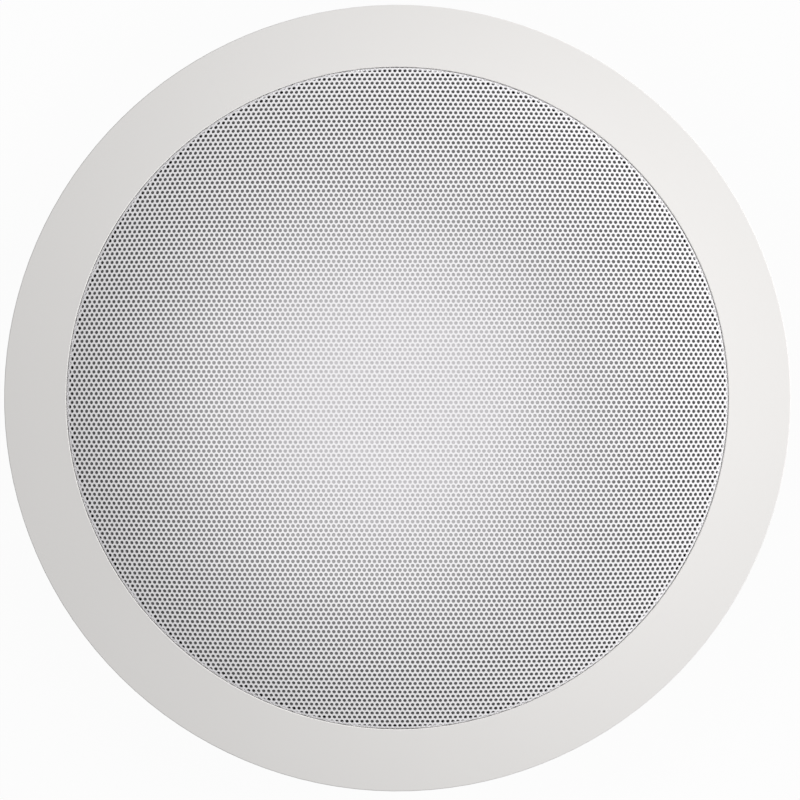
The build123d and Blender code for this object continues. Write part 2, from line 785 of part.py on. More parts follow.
for i, angle in enumerate(clamp_angles, start=1):
    with BuildPart() as clamp_screw:
        with BuildSketch(level_plane(clamp_circle, angle, clamp_tower_end - clamp_tip)):
            Circle(clamp_screw_radius)
        extrude(amount=baffle_front - clamp_tower_end + clamp_tip)
        with BuildSketch(level_plane(clamp_circle, angle, baffle_front)):
            Circle(clamp_head_radius)
        extrude(amount=clamp_head_height)
        head_top = clamp_screw.faces().sort_by(Axis.Z)[-1]
        fillet(head_top.edges(), clamp_head_height / 3)
        with BuildSketch(level_plane(clamp_circle, angle, baffle_front + clamp_head_height)):
            Rectangle(clamp_head_radius, driver_slot)
            Rectangle(driver_slot, clamp_head_radius)
        extrude(amount=-driver_slot_depth, mode=Mode.SUBTRACT)
    clamp_screw.part.label = f"clamp_screw_{i}"
    export_step(clamp_screw.part, f"parts/clamp_screw_{i}.step")

    with BuildPart() as clamp_dog:
        with BuildSketch(level_plane(clamp_circle, angle, dog_top)):
            Circle(dog_half_width)
        extrude(amount=-dog_hub_height)
        with BuildSketch(level_plane(clamp_circle, angle, dog_top)):
            Rectangle(2 * dog_half_width, dog_reach, align=(Align.CENTER, Align.MIN))
        extrude(amount=-dog_arm_height)
        tip_edges = clamp_dog.edges().filter_by(Axis.Z).sort_by_distance(
            level_plane(clamp_circle, angle, dog_top).from_local_coords((0, dog_reach, 0))
        )[:2]
        fillet(tip_edges, dog_half_width / 2)

        # Web under the arm, from the foot of the hub to the tip
        web_plane = upright_plane(clamp_circle - dog_web / 2, angle)
        with BuildSketch(web_plane):
            with BuildLine():
                Polyline(
                    (0, dog_top - dog_arm_height),
                    (dog_reach - dog_pad_length / 2, dog_top - dog_arm_height),
                    (dog_half_width, dog_top - dog_hub_height),
                    (0, dog_top - dog_hub_height),
                    close=True,
                )
            make_face()
        extrude(amount=dog_web)

        # Toothed pad that grips the back of the board
        pad_plane = upright_plane(clamp_circle - dog_half_width / 2, angle)
        with BuildSketch(pad_plane):
            with BuildLine():
                pad_start = dog_reach - dog_half_width / 2 - dog_pad_length
                crest = dog_top + dog_pad_height
                ridge = [(pad_start, dog_top)]
                for tooth in range(dog_tooth_count):
                    ridge.append((pad_start + tooth_pitch * tooth, crest - dog_tooth))
                    ridge.append((pad_start + tooth_pitch * (tooth + 0.5), crest))
                ridge.append((pad_start + dog_pad_length, crest - dog_tooth))
                ridge.append((pad_start + dog_pad_length, dog_top))
                Polyline(*ridge, close=True)
            make_face()
        extrude(amount=dog_half_width)
        with BuildSketch(level_plane(clamp_circle, angle, dog_top)):
            Circle(clamp_screw_radius + running_clearance)
        extrude(amount=-dog_hub_height, mode=Mode.SUBTRACT)
    clamp_dog.part.label = f"clamp_dog_{i}"
    export_step(clamp_dog.part, f"parts/clamp_dog_{i}.step")

# Woofer screws: four pan heads on the basket flange
with BuildPart() as woofer_screws:
    for angle in woofer_screw_angles:
        with BuildSketch(level_plane(woofer_screw_circle, angle, basket_top - woofer_screw_length)):
            Circle(woofer_screw_radius)
        extrude(amount=woofer_screw_length)
        with BuildSketch(level_plane(woofer_screw_circle, angle, basket_top)):
            Circle(woofer_head_radius)
        extrude(amount=woofer_head_height)
    fillet(woofer_screws.faces().group_by(Axis.Z)[-1].edges(), woofer_head_height / 3)
woofer_screws.part.label = "woofer_screws"
export_step(woofer_screws.part, "parts/woofer_screws.step")

# Crossover: board on four standoffs, with coil, capacitor and resistor on its outer face
with BuildPart() as crossover_board:
    with BuildSketch(upright_plane(board_back, crossover_angle)):
        with Locations((0, board_mid)):
            Rectangle(board_width, board_height)
            with GridLocations(2 * board_screw_x, 2 * board_screw_y, 2, 2):
                Circle(board_screw_radius + fixing_clearance, mode=Mode.SUBTRACT)
    extrude(amount=board_sheet)
crossover_board.part.label = "crossover_board"
export_step(crossover_board.part, "parts/crossover_board.step")

with BuildPart() as board_screws:
    with BuildSketch(upright_plane(shelf_radius, crossover_angle)):
        with Locations((0, board_mid)):
            with GridLocations(2 * board_screw_x, 2 * board_screw_y, 2, 2):
                Circle(board_screw_radius)
    extrude(amount=board_face - shelf_radius)
    with BuildSketch(upright_plane(board_face, crossover_angle)):
        with Locations((0, board_mid)):
            with GridLocations(2 * board_screw_x, 2 * board_screw_y, 2, 2):
                Circle(board_head_radius)
    extrude(amount=board_head_height)
board_screws.part.label = "board_screws"
export_step(board_screws.part, "parts/board_screws.step")

coil_x = -(coil_former_radius + component_gap)
capacitor_x = component_gap + capacitor_width / 2
resistor_x = capacitor_x + capacitor_width / 2 + component_gap + resistor_width / 2
board_plane = upright_plane(board_face, crossover_angle)

with BuildPart() as crossover_coil:
    with BuildSketch(board_plane):
        with Locations((coil_x, board_mid)):
            Circle(coil_former_radius)
    extrude(amount=coil_former_height)
    with BuildSketch(board_plane.offset(coil_former_cheek)):
        with Locations((coil_x, board_mid)):
            Circle(coil_former_radius)
            Circle(coil_former_radius - coil_former_cheek, mode=Mode.SUBTRACT)
    extrude(amount=coil_former_height - 2 * coil_former_cheek, mode=Mode.SUBTRACT)
    with BuildSketch(board_plane):
        with Locations((coil_x, board_mid)):
            Circle(coil_core_radius)
    extrude(amount=coil_former_height, mode=Mode.SUBTRACT)
crossover_coil.part.label = "crossover_coil"
export_step(crossover_coil.part, "parts/crossover_coil.step")

with BuildPart() as crossover_capacitor:
    with BuildSketch(board_plane):
        with Locations((capacitor_x, board_mid)):
            Rectangle(capacitor_width, capacitor_length)
    extrude(amount=capacitor_height)
    fillet(crossover_capacitor.edges().filter_by(Axis.Y), component_round)
crossover_capacitor.part.label = "crossover_capacitor"
export_step(crossover_capacitor.part, "parts/crossover_capacitor.step")

with BuildPart() as crossover_resistor:
    with BuildSketch(board_plane):
        with Locations((resistor_x, board_mid)):
            Rectangle(resistor_width, resistor_length)
    extrude(amount=resistor_height)
crossover_resistor.part.label = "crossover_resistor"
export_step(crossover_resistor.part, "parts/crossover_resistor.step")

# Push terminal: a block with two wells, and a spring button in each
button_x = terminal_width / 4
well_depth = button_length - button_stand + button_travel + slide_clearance
button_middle = shelf_face + terminal_depth / 2
port_radius = shelf_face + terminal_depth - wire_port

with BuildPart() as terminal_block:
    with BuildSketch(level_plane(button_middle, terminal_angle, terminal_back)):
        Rectangle(terminal_depth, terminal_width)
    extrude(amount=terminal_height)
    fillet(terminal_block.faces().sort_by(Axis.Y)[-1].edges().filter_by(Axis.Z), terminal_round)
    with BuildSketch(level_plane(button_middle, terminal_angle, terminal_back)):
        with Locations((-wire_port / 2, -button_x), (-wire_port / 2, button_x)):
            Rectangle(button_depth + 2 * slide_clearance, button_width + 2 * slide_clearance)
    extrude(amount=well_depth, mode=Mode.SUBTRACT)
    with BuildSketch(level_plane(port_radius, terminal_angle, terminal_back)):
        with Locations((wire_port / 2, -button_x), (wire_port / 2, button_x)):
            Rectangle(wire_port, wire_port)
    extrude(amount=wire_port_depth, mode=Mode.SUBTRACT)
terminal_block.part.label = "terminal_block"
export_step(terminal_block.part, "parts/terminal_block.step")

for name, side in (("red", -1), ("black", 1)):
    with BuildPart() as terminal_button:
        with BuildSketch(level_plane(button_middle, terminal_angle, terminal_back - button_stand)):
            with Locations((-wire_port / 2, side * button_x)):
                Rectangle(button_depth, button_width)
        extrude(amount=button_length)
        fillet(terminal_button.faces().sort_by(Axis.Z)[0].edges(), button_round)
    terminal_button.part.label = f"terminal_button_{name}"
    export_step(terminal_button.part, f"parts/terminal_button_{name}.step")
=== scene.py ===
"""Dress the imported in-ceiling speaker: finishes, perforated grille, cloth, threads, lamps and camera.

Everything is in metres, in the frame of the part: Z is the axis, sound leaves along +Z, and the
room face of the ceiling board is z = 0.
"""

import logging
import math
from collections.abc import Iterable, Sequence
from dataclasses import dataclass, field
from enum import Enum

import bpy
import numpy as np
from mathutils import Matrix, Vector


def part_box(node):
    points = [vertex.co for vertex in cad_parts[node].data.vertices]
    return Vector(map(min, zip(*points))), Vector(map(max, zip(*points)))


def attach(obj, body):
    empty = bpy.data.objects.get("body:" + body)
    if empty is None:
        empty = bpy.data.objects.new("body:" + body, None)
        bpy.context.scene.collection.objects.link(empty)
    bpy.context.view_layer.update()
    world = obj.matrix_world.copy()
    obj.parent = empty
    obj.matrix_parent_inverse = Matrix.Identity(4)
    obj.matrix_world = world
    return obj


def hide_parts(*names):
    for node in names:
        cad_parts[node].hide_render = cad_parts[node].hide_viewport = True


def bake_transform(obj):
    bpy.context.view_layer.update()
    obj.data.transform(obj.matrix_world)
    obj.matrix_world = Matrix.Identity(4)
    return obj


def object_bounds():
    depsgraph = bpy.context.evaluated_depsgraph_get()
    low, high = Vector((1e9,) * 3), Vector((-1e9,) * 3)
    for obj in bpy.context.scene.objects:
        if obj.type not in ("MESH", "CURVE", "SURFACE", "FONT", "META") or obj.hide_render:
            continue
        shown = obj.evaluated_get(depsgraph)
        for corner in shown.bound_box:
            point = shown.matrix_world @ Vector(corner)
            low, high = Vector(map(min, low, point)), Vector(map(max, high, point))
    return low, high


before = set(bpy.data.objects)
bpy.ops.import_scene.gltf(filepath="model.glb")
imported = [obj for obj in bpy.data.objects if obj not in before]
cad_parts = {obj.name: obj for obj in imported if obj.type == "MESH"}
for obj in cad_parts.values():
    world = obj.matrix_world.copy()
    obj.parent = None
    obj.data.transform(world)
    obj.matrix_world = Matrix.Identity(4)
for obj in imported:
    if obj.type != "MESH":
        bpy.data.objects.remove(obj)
CAD_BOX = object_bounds()

LOG = logging.getLogger("speaker")
MM = 0.001
FULL_TURN = 2 * math.pi
QUARTER_TURN = math.pi / 2
ON_AXIS = 1e-9
CLAMPS = range(1, 5)
FULL_WHITE = (1.0, 1.0, 1.0, 1.0)

Colour = tuple[float, float, float]
Outline = list[tuple[float, float]]
Points = list[tuple[float, float, float]]
Faces = Sequence[Sequence[int]]
Socket = bpy.types.NodeSocket
Piece = bpy.types.Object
Material = bpy.types.Material


class Graph:
    """Adds linked nodes to one node tree."""

    def __init__(self, tree: bpy.types.NodeTree) -> None:
        """Keep the tree that the nodes go into."""
        self.tree = tree

    def add(self, kind: str, inputs: dict | None = None, **settings: object) -> bpy.types.Node:
        """Add a node with its settings and inputs.

        Args:
            kind: Blender's name of the node type.
            inputs: What each socket takes, by name or number: a value, a socket or a Field.
            settings: Properties of the node itself.

        Returns:
            The new node.
        """
        node = self.tree.nodes.new(kind)
        for key, value in settings.items():
            setattr(node, key, value)
        for key, value in (inputs or {}).items():
            self.feed(node.inputs[key], value)
        return node

    def out(self, kind: str, inputs: dict | None = None, **settings: object) -> Socket:
        """Add a node as add does, and return its first output."""
        return self.add(kind, inputs, **settings).outputs[0]

    def feed(self, socket: Socket, value: "Field | Socket | float | tuple") -> None:
        """Link a socket to what feeds it, or set its value.

        Args:
            socket: The socket of a node's input.
            value: What it takes.
        """
        if isinstance(value, Field):
            value = value.socket
        if isinstance(value, bpy.types.NodeSocket):
            self.tree.links.new(value, socket)
        else:
            socket.default_value = value

    def math(self, operation: str, *terms: "Field | Socket | float") -> "Field":
        """Return the result of one step of arithmetic, named as Blender names it."""
        return Field(self, self.out("ShaderNodeMath", dict(enumerate(terms)), operation=operation))

    def split(self, vector: Socket) -> "list[Field]":
        """Return the x, y and z of a vector."""
        parts = self.add("ShaderNodeSeparateXYZ", {0: vector})
        return [Field(self, part) for part in parts.outputs]

    def vector(self, x: "Field | float", y: "Field | float", z: "Field | float") -> Socket:
        """Return the vector with these components."""
        return self.out("ShaderNodeCombineXYZ", {0: x, 1: y, 2: z})

    def position(self) -> "list[Field]":
        """Return the x, y and z of each point of a geometry."""
        return self.split(self.out("GeometryNodeInputPosition"))

    def join(self, *parts: Socket) -> Socket:
        """Put geometries together.

        Args:
            parts: The geometries.

        Returns:
            One geometry with all of them.
        """
        node = self.add("GeometryNodeJoinGeometry")
        for part in parts:
            self.feed(node.inputs[0], part)
        return node.outputs[0]

    def weld(self, geometry: Socket, distance: float) -> Socket:
        """Return a geometry with the points joined that lie within a distance."""
        return self.out("GeometryNodeMergeByDistance", {"Geometry": geometry, "Distance": distance})

    def place(self, points: Socket, instance: Socket, **inputs: Socket) -> Socket:
        """Return an instance at every point."""
        return self.out("GeometryNodeInstanceOnPoints", {"Points": points, "Instance": instance, **inputs})


class Field:
    """A number in a node tree that takes part in plain arithmetic."""

    def __init__(self, graph: Graph, socket: Socket) -> None:
        """Keep the socket that gives the number, and the graph it is in."""
        self.graph = graph
        self.socket = socket

    def __add__(self, other: "Field | float") -> "Field":
        """Return the sum."""
        return self.graph.math("ADD", self, other)

    def __sub__(self, other: "Field | float") -> "Field":
        """Return the difference."""
        return self.graph.math("SUBTRACT", self, other)

    def __rsub__(self, other: float) -> "Field":
        """Return the difference from a plain number."""
        return self.graph.math("SUBTRACT", other, self)

    def __mul__(self, other: "Field | float") -> "Field":
        """Return the product."""
        return self.graph.math("MULTIPLY", self, other)

    def __truediv__(self, other: "Field | float") -> "Field":
        """Return the quotient."""
        return self.graph.math("DIVIDE", self, other)

    def __gt__(self, other: "Field | float") -> "Field":
        """Return 1 where this is the larger, else 0."""
        return self.graph.math("GREATER_THAN", self, other)

    def sin(self) -> "Field":
        """Return the sine."""
        return self.graph.math("SINE", self)

    def cos(self) -> "Field":
        """Return the cosine."""
        return self.graph.math("COSINE", self)

    def floor(self) -> "Field":
        """Return the whole number below."""
        return self.graph.math("FLOOR", self)

    def size(self) -> "Field":
        """Return the number without its sign."""
        return self.graph.math("ABSOLUTE", self)

    def at_most(self, other: "Field | float") -> "Field":
        """Return the smaller of the two."""
        return self.graph.math("MINIMUM", self, other)

    def at_least(self, other: "Field | float") -> "Field":
        """Return the larger of the two."""
        return self.graph.math("MAXIMUM", self, other)

    def hypot(self, other: "Field") -> "Field":
        """Return the length of the diagonal over the two."""
        return self.graph.math("SQRT", self * self + other * other)


class Grain(Enum):
    """The fine relief of a surface."""

    SPARK = "spark-eroded moulding"
    PEEL = "sprayed or powder-coated paint"
    TURNED = "rings left by a lathe"
    WOVEN = "plain weave"
    FIBRE = "pressed paper fibres"
    WOUND = "wire laid turn on turn along the axis"
    SPECKLE = "sintered grains"
    TRACKS = "copper areas under lacquer"


# Octaves of the noise in each grain that has noise, and in the drift of the tone.
GRAIN_DETAIL = {Grain.SPARK: 2.0, Grain.PEEL: 0.5, Grain.TURNED: 2.0, Grain.WOVEN: 2.0, Grain.FIBRE: 5.0}
DRIFT_DETAIL = 3.0
# Shares of the broad noise and of the relief in the drift of the tone.
CLOUD_SHARE = 0.6
RELIEF_SHARE = 0.4
# The share of threads and of slubs in a weave, its level, and a slub's length in threads.
WEAVE_SHARE = 0.4
WEAVE_LEVEL = 0.3
SLUB_LENGTH = 6
# A paper fibre's length in widths.
FIBRE_LENGTH = 5
# Gaps and sizes of copper areas, in grain sizes, and how their rows are shifted and drawn out.
TRACK_AREAS = {"Mortar Size": 0.025, "Brick Width": 0.8, "Row Height": 0.42}
TRACK_ORDER = {"offset": 0.3, "offset_frequency": 3, "squash": 2.6, "squash_frequency": 2}
# The numbers of the Mix node's sockets for colours.
MIX_LOW, MIX_HIGH, MIX_RESULT = 6, 7, 2


@dataclass(frozen=True)
class Finish:
    """A surface finish, with the relief and the drift in tone that a close look shows.

    Sizes are in metres. drift is the share by which the colour varies, and gloss_drift the amount by
    which the roughness does.
    """

    name: str
    colour: Colour
    roughness: float
    grain: Grain
    grain_size: float
    relief: float
    metallic: float = 0.0
    drift: float = 0.04
    drift_size: float = 30 * MM
    gloss_drift: float = 0.05
    sheen: float = 0.0
    coat: float = 0.0
    specular: float = 0.5

    def material(self) -> Material:
        """Return the material of this finish, made on first use."""
        found = bpy.data.materials.get(f"finish_{self.name}")
        return found or self._make()

    def _make(self) -> Material:
        """Build the node tree.

        Returns:
            The new material.
        """
        made = bpy.data.materials.new(f"finish_{self.name}")
        made.use_nodes = True
        graph = Graph(made.node_tree)
        shader = made.node_tree.nodes["Principled BSDF"]
        place = graph.add("ShaderNodeTexCoord").outputs["Object"]
        height = self._height(graph, place)
        cloud = self._noise(graph, place, self.drift_size, DRIFT_DETAIL)
        looks = {
            "Base Color": self._tone(graph, place, cloud, height),
            "Metallic": self.metallic,
            "Roughness": (cloud - 0.5) * (2 * self.gloss_drift) + self.roughness,
            "Specular IOR Level": self.specular,
            "Sheen Weight": self.sheen,
            "Coat Weight": self.coat,
            "Normal": graph.out(
                "ShaderNodeBump",
                {"Strength": 1.0, "Distance": self.relief, "Height": height},
            ),
        }
        for label, value in looks.items():
            graph.feed(shader.inputs[label], value)
        return made

    def _noise(self, graph: Graph, place: Socket, size: float, detail: float) -> Field:
        """Return soft noise from 0 to 1 with features of a size, and detail octaves."""
        scale = {"Vector": place, "Scale": 1 / size, "Detail": detail}
        return Field(graph, graph.out("ShaderNodeTexNoise", scale))

    def _tone(self, graph: Graph, place: Socket, cloud: Field, height: Field) -> Socket:
        """Return the base colour.

        Args:
            graph: The material's graph.
            place: The point on the surface.
            cloud: Broad noise that the colour drifts with.
            height: The fine relief, whose hollows are a little darker.

        Returns:
            The socket with the colour.
        """
        low = tuple(c * (1 - self.drift) for c in self.colour)
        high = tuple(min(1.0, c * (1 + self.drift)) for c in self.colour)
        return self._between(graph, cloud * CLOUD_SHARE + height * RELIEF_SHARE, low, high)

    def _between(self, graph: Graph, factor: Field | Socket, low: Colour, high: Colour) -> Socket:
        """Return the colour a factor of the way from low to high."""
        ends = {"Factor": factor, MIX_LOW: (*low, 1.0), MIX_HIGH: (*high, 1.0)}
        return graph.add("ShaderNodeMix", ends, data_type="RGBA").outputs[MIX_RESULT]

    def _height(self, graph: Graph, place: Socket) -> Field:
        """Return the fine relief.

        Args:
            graph: The material's graph.
            place: The point on the surface.

        Returns:
            The height, from about 0 to 1.
        """
        x, y, z = graph.split(place)
        size, wave = self.grain_size, FULL_TURN / self.grain_size
        detail = GRAIN_DETAIL.get(self.grain)
        match self.grain:
            case Grain.TURNED:
                rings = graph.vector(x.hypot(y) / size, z / size, 0.0)
                return self._noise(graph, rings, 1.0, detail)
            case Grain.WOUND:
                return (z * wave).sin() * 0.5 + 0.5
            case Grain.WOVEN:
                slub = self._noise(graph, place, SLUB_LENGTH * size, detail)
                cross = (x * wave).sin() * (y * wave).sin()
                return cross * WEAVE_SHARE + slub * WEAVE_SHARE + WEAVE_LEVEL
            case Grain.FIBRE:
                drawn = graph.vector(x / size, y / size, z / (FIBRE_LENGTH * size))
                return self._noise(graph, drawn, 1.0, detail)
            case Grain.TRACKS:
                areas = {"Vector": graph.vector(x, z, 0.0), "Scale": 1 / size, **TRACK_AREAS}
                copper = graph.add("ShaderNodeTexBrick", areas, **TRACK_ORDER)
                return 1 - Field(graph, copper.outputs["Fac"])
            case Grain.SPECKLE:
                cells = graph.add("ShaderNodeTexVoronoi", {"Vector": place, "Scale": 1 / size})
                return Field(graph, cells.outputs["Distance"]).at_most(1.0)
            case _:
                return self._noise(graph, place, size, detail)


@dataclass(frozen=True)
class ScrimFinish(Finish):
    """Thin cloth whose tone falls from a light middle to a dark rim: painted shade, standing in for the
    light through the holes that fades towards the rim.
    """

    # The colour at the rim, and the distances from the axis where the painted shade starts and where it is
    # full.
    painted_rim_shade: Colour = (0.13, 0.13, 0.13)
    shade_start_reach: float = 16 * MM
    full_shade_reach: float = 96 * MM

    def _tone(self, graph: Graph, place: Socket, cloud: Field, height: Field) -> Socket:
        """Return the base colour, darkened by painted shade between two distances from the axis.

        Args:
            graph: The material's graph.
            place: The point on the surface.
            cloud: Broad noise, which this cloth's colour doesn't follow.
            height: The weave, whose hollows are darker.

        Returns:
            The socket with the colour.
        """
        x, y, _ = graph.split(place)
        # Painted shade: the colour goes from the middle's to the rim's between the two distances.
        reach = {"Value": x.hypot(y), "From Min": self.shade_start_reach, "From Max": self.full_shade_reach}
        painted_shade_fall = graph.out("ShaderNodeMapRange", reach, interpolation_type="SMOOTHSTEP")
        base = self._between(graph, painted_shade_fall, self.colour, self.painted_rim_shade)
        thread = height * self.drift + (1 - self.drift / 2)
        return graph.out("ShaderNodeVectorMath", {0: base, "Scale": thread}, operation="SCALE")


WHITE_MOULDING = Finish(
    "white_moulding", (0.766, 0.752, 0.739), 0.65, Grain.SPARK, 0.35 * MM, 0.006 * MM,
    drift=0.012, specular=0.03,
)
GRILLE_PAINT = Finish(
    "white_grille_paint", (0.86, 0.85, 0.865), 0.65, Grain.PEEL, 0.4 * MM, 0.006 * MM,
    drift=0.012, specular=0.03,
)
# The scrim's colour darkens towards its rim: painted shade for the light through the holes that fades
# towards the edge.
SCRIM_CLOTH = ScrimFinish(
    "scrim_cloth", (0.7, 0.69, 0.7), 0.9, Grain.WOVEN, 0.3 * MM, 0.03 * MM, drift=0.2, specular=0.2
)
BASKET_PAINT = Finish(
    "black_basket_paint", (0.028, 0.028, 0.03), 0.4, Grain.PEEL, 0.8 * MM, 0.02 * MM, drift=0.15
)
SURROUND_RUBBER = Finish(
    "surround_rubber", (0.02, 0.02, 0.021), 0.62, Grain.SPARK, 0.3 * MM, 0.015 * MM, drift=0.2
)
GASKET_FOAM = Finish(
    "gasket_foam", (0.035, 0.035, 0.036), 0.95, Grain.SPECKLE, 0.5 * MM, 0.1 * MM, drift=0.3, sheen=0.1
)
CONE_PAPER = Finish(
    "cone_paper", (0.06, 0.06, 0.065), 0.72, Grain.FIBRE, 0.5 * MM, 0.05 * MM, drift=0.25, sheen=0.1
)
FORMER_FOIL = Finish(
    "former_foil", (0.76, 0.76, 0.77), 0.28, Grain.TURNED, 0.25 * MM, 0.004 * MM, metallic=1.0
)
COPPER_WIRE = Finish(
    "copper_wire", (0.70, 0.31, 0.15), 0.25, Grain.SPARK, 0.5 * MM, 0.004 * MM, metallic=1.0, coat=0.4
)
WINDING_WIRE = Finish(
    "winding_wire", (0.68, 0.29, 0.14), 0.3, Grain.WOUND, 0.3 * MM, 0.06 * MM, metallic=1.0, coat=0.3
)
SPIDER_CLOTH = Finish(
    "spider_cloth", (0.62, 0.46, 0.2), 0.75, Grain.WOVEN, 0.6 * MM, 0.12 * MM, drift=0.3, sheen=0.15
)
ZINC_STEEL = Finish(
    "zinc_steel", (0.34, 0.345, 0.35), 0.42, Grain.TURNED, 0.5 * MM, 0.01 * MM, metallic=1.0, drift=0.1
)
FERRITE = Finish(
    "ferrite", (0.075, 0.075, 0.08), 0.55, Grain.SPECKLE, 0.7 * MM, 0.03 * MM, drift=0.3, gloss_drift=0.12
)
BLACK_PLASTIC = Finish(
    "black_plastic", (0.024, 0.024, 0.026), 0.5, Grain.SPARK, 0.35 * MM, 0.02 * MM, drift=0.15
)
NICKEL = Finish(
    "nickel_magnet", (0.72, 0.70, 0.66), 0.18, Grain.PEEL, 0.6 * MM, 0.003 * MM, metallic=1.0
)
DOME_SILK = Finish(
    "dome_silk", (0.045, 0.04, 0.04), 0.6, Grain.WOVEN, 0.25 * MM, 0.02 * MM, drift=0.3, sheen=0.3
)
SCREW_STEEL = Finish(
    "screw_steel", (0.42, 0.42, 0.425), 0.3, Grain.TURNED, 0.3 * MM, 0.005 * MM, metallic=1.0, drift=0.08
)
CLAMP_NYLON = Finish(
    "clamp_nylon", (0.03, 0.03, 0.032), 0.58, Grain.FIBRE, 0.4 * MM, 0.02 * MM, drift=0.25
)
BOARD_LAMINATE = Finish(
    "board_laminate", (0.045, 0.17, 0.07), 0.33, Grain.TRACKS, 14 * MM, 0.05 * MM, drift=0.3, coat=0.3
)
CAPACITOR_CASE = Finish(
    "capacitor_case", (0.75, 0.50, 0.06), 0.3, Grain.PEEL, 1.0 * MM, 0.02 * MM, coat=0.2
)
RESISTOR_CEMENT = Finish(
    "resistor_cement", (0.80, 0.78, 0.72), 0.85, Grain.SPECKLE, 0.4 * MM, 0.05 * MM, drift=0.12
)
RED_BUTTON = Finish(
    "red_button", (0.55, 0.02, 0.02), 0.32, Grain.SPARK, 0.4 * MM, 0.01 * MM, drift=0.1
)
BLACK_BUTTON = Finish(
    "black_button", (0.02, 0.02, 0.02), 0.32, Grain.SPARK, 0.4 * MM, 0.01 * MM, drift=0.15
)
TINNED_WIRE = Finish(
    "tinned_wire", (0.72, 0.72, 0.70), 0.3, Grain.PEEL, 0.6 * MM, 0.006 * MM, metallic=1.0, drift=0.1
)


def mesh_object(name: str, points: Points, edges: Faces = (), faces: Faces = ()) -> Piece:
    """Make an object that isn't in the scene yet.

    Args:
        name: The name of the object and its mesh.
        points: The vertices.
        edges: The vertices of each edge that no face has.
        faces: The vertices of each face.

    Returns:
        The new object.
    """
    mesh = bpy.data.meshes.new(name)
    mesh.from_pydata(points, list(edges), list(faces))
    return bpy.data.objects.new(name, mesh)


def show(thing: bpy.types.Object) -> None:
    """Put an object into the scene."""
    bpy.context.scene.collection.objects.link(thing)


def discard(*helpers: Piece) -> None:
    """Remove objects that only fed a recipe.

    Args:
        helpers: The objects, whose meshes go with them.
    """
    for helper in helpers:
        mesh = helper.data
        bpy.data.objects.remove(helper)
        bpy.data.meshes.remove(mesh)


def smooth(mesh: bpy.types.Mesh, sharp: float) -> None:
    """Shade a mesh smooth, with edges crisp past an angle in degrees."""
    mesh.shade_smooth()
    mesh.set_sharp_from_angle(angle=math.radians(sharp))


def skin(low: Sequence[int], high: Sequence[int]) -> Faces:
    """Close the wall between two rings of vertices.

    Args:
        low: The lower ring, anticlockwise from above, or one vertex on the axis.
        high: The upper ring, in the same way.

    Returns:
        Faces that point outwards.
    """
    steps = max(len(low), len(high))
    faces = []
    for i in range(steps):
        j = (i + 1) % steps
        corners = (low[i % len(low)], low[j % len(low)], high[j % len(high)], high[i % len(high)])
        faces.append(tuple(dict.fromkeys(corners)))
    return faces


def turned(outline: Outline, steps: int) -> tuple[Points, Faces]:
    """Turn an outline round the Z axis.

    Args:
        outline: Radius and height of each point, with the solid on the left. It is closed from
            its last point to its first, unless both are on the axis.
        steps: How many places round the axis.

    Returns:
        The points and the faces.
    """
    points, rings = [], []
    for radius, height in outline:
        count = steps if radius > ON_AXIS else 1
        angles = [FULL_TURN * i / steps for i in range(count)]
        rings.append(range(len(points), len(points) + count))
        points += [(radius * math.cos(a), radius * math.sin(a), height) for a in angles]
    pairs = list(zip(rings, rings[1:]))
    if len(rings[0]) > 1 and len(rings[-1]) > 1:
        pairs.append((rings[-1], rings[0]))
    return points, [face for low, high in pairs for face in skin(low, high)]


def lathe(name: str, outline: Outline, steps: int, finish: Finish, sharp: float = 35.0) -> Piece:
    """Add a piece that is turned round the Z axis.

    Args:
        name: The piece's name.
        outline: Radius and height of each point, as turned takes it.
        steps: How many places round the axis.
        finish: What the surface looks like.
        sharp: The angle in degrees past which an edge stays crisp.

    Returns:
        The new object.
    """
    points, faces = turned(outline, steps)
    piece = mesh_object(name, points, faces=faces)
    piece.data.materials.append(finish.material())
    smooth(piece.data, sharp)
    show(piece)
    return piece


def arc(middle: tuple[float, float], radius: float, start: float, end: float, steps: int) -> Outline:
    """Return points along an arc.

    Args:
        middle: Radius and height of its centre.
        radius: Its own radius.
        start: Where it begins, in degrees from the outward direction.
        end: Where it ends.
        steps: How many stretches it has.

    Returns:
        Its points in order.
    """
    turns = [math.radians(start + (end - start) * i / steps) for i in range(steps + 1)]
    return [(middle[0] + radius * math.cos(t), middle[1] + radius * math.sin(t)) for t in turns]


def settle(piece: Piece, body: str, slot: str, *nodes: str) -> Piece:
    """Let a finished piece ride a body.

    Args:
        piece: The piece.
        body: The body that it moves with.
        slot: The name of a material slot; not used.
        nodes: The nodes that it stands for.

    Returns:
        The piece.
    """
    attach(piece, body)
    if nodes:
        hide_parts(*nodes)
    return piece


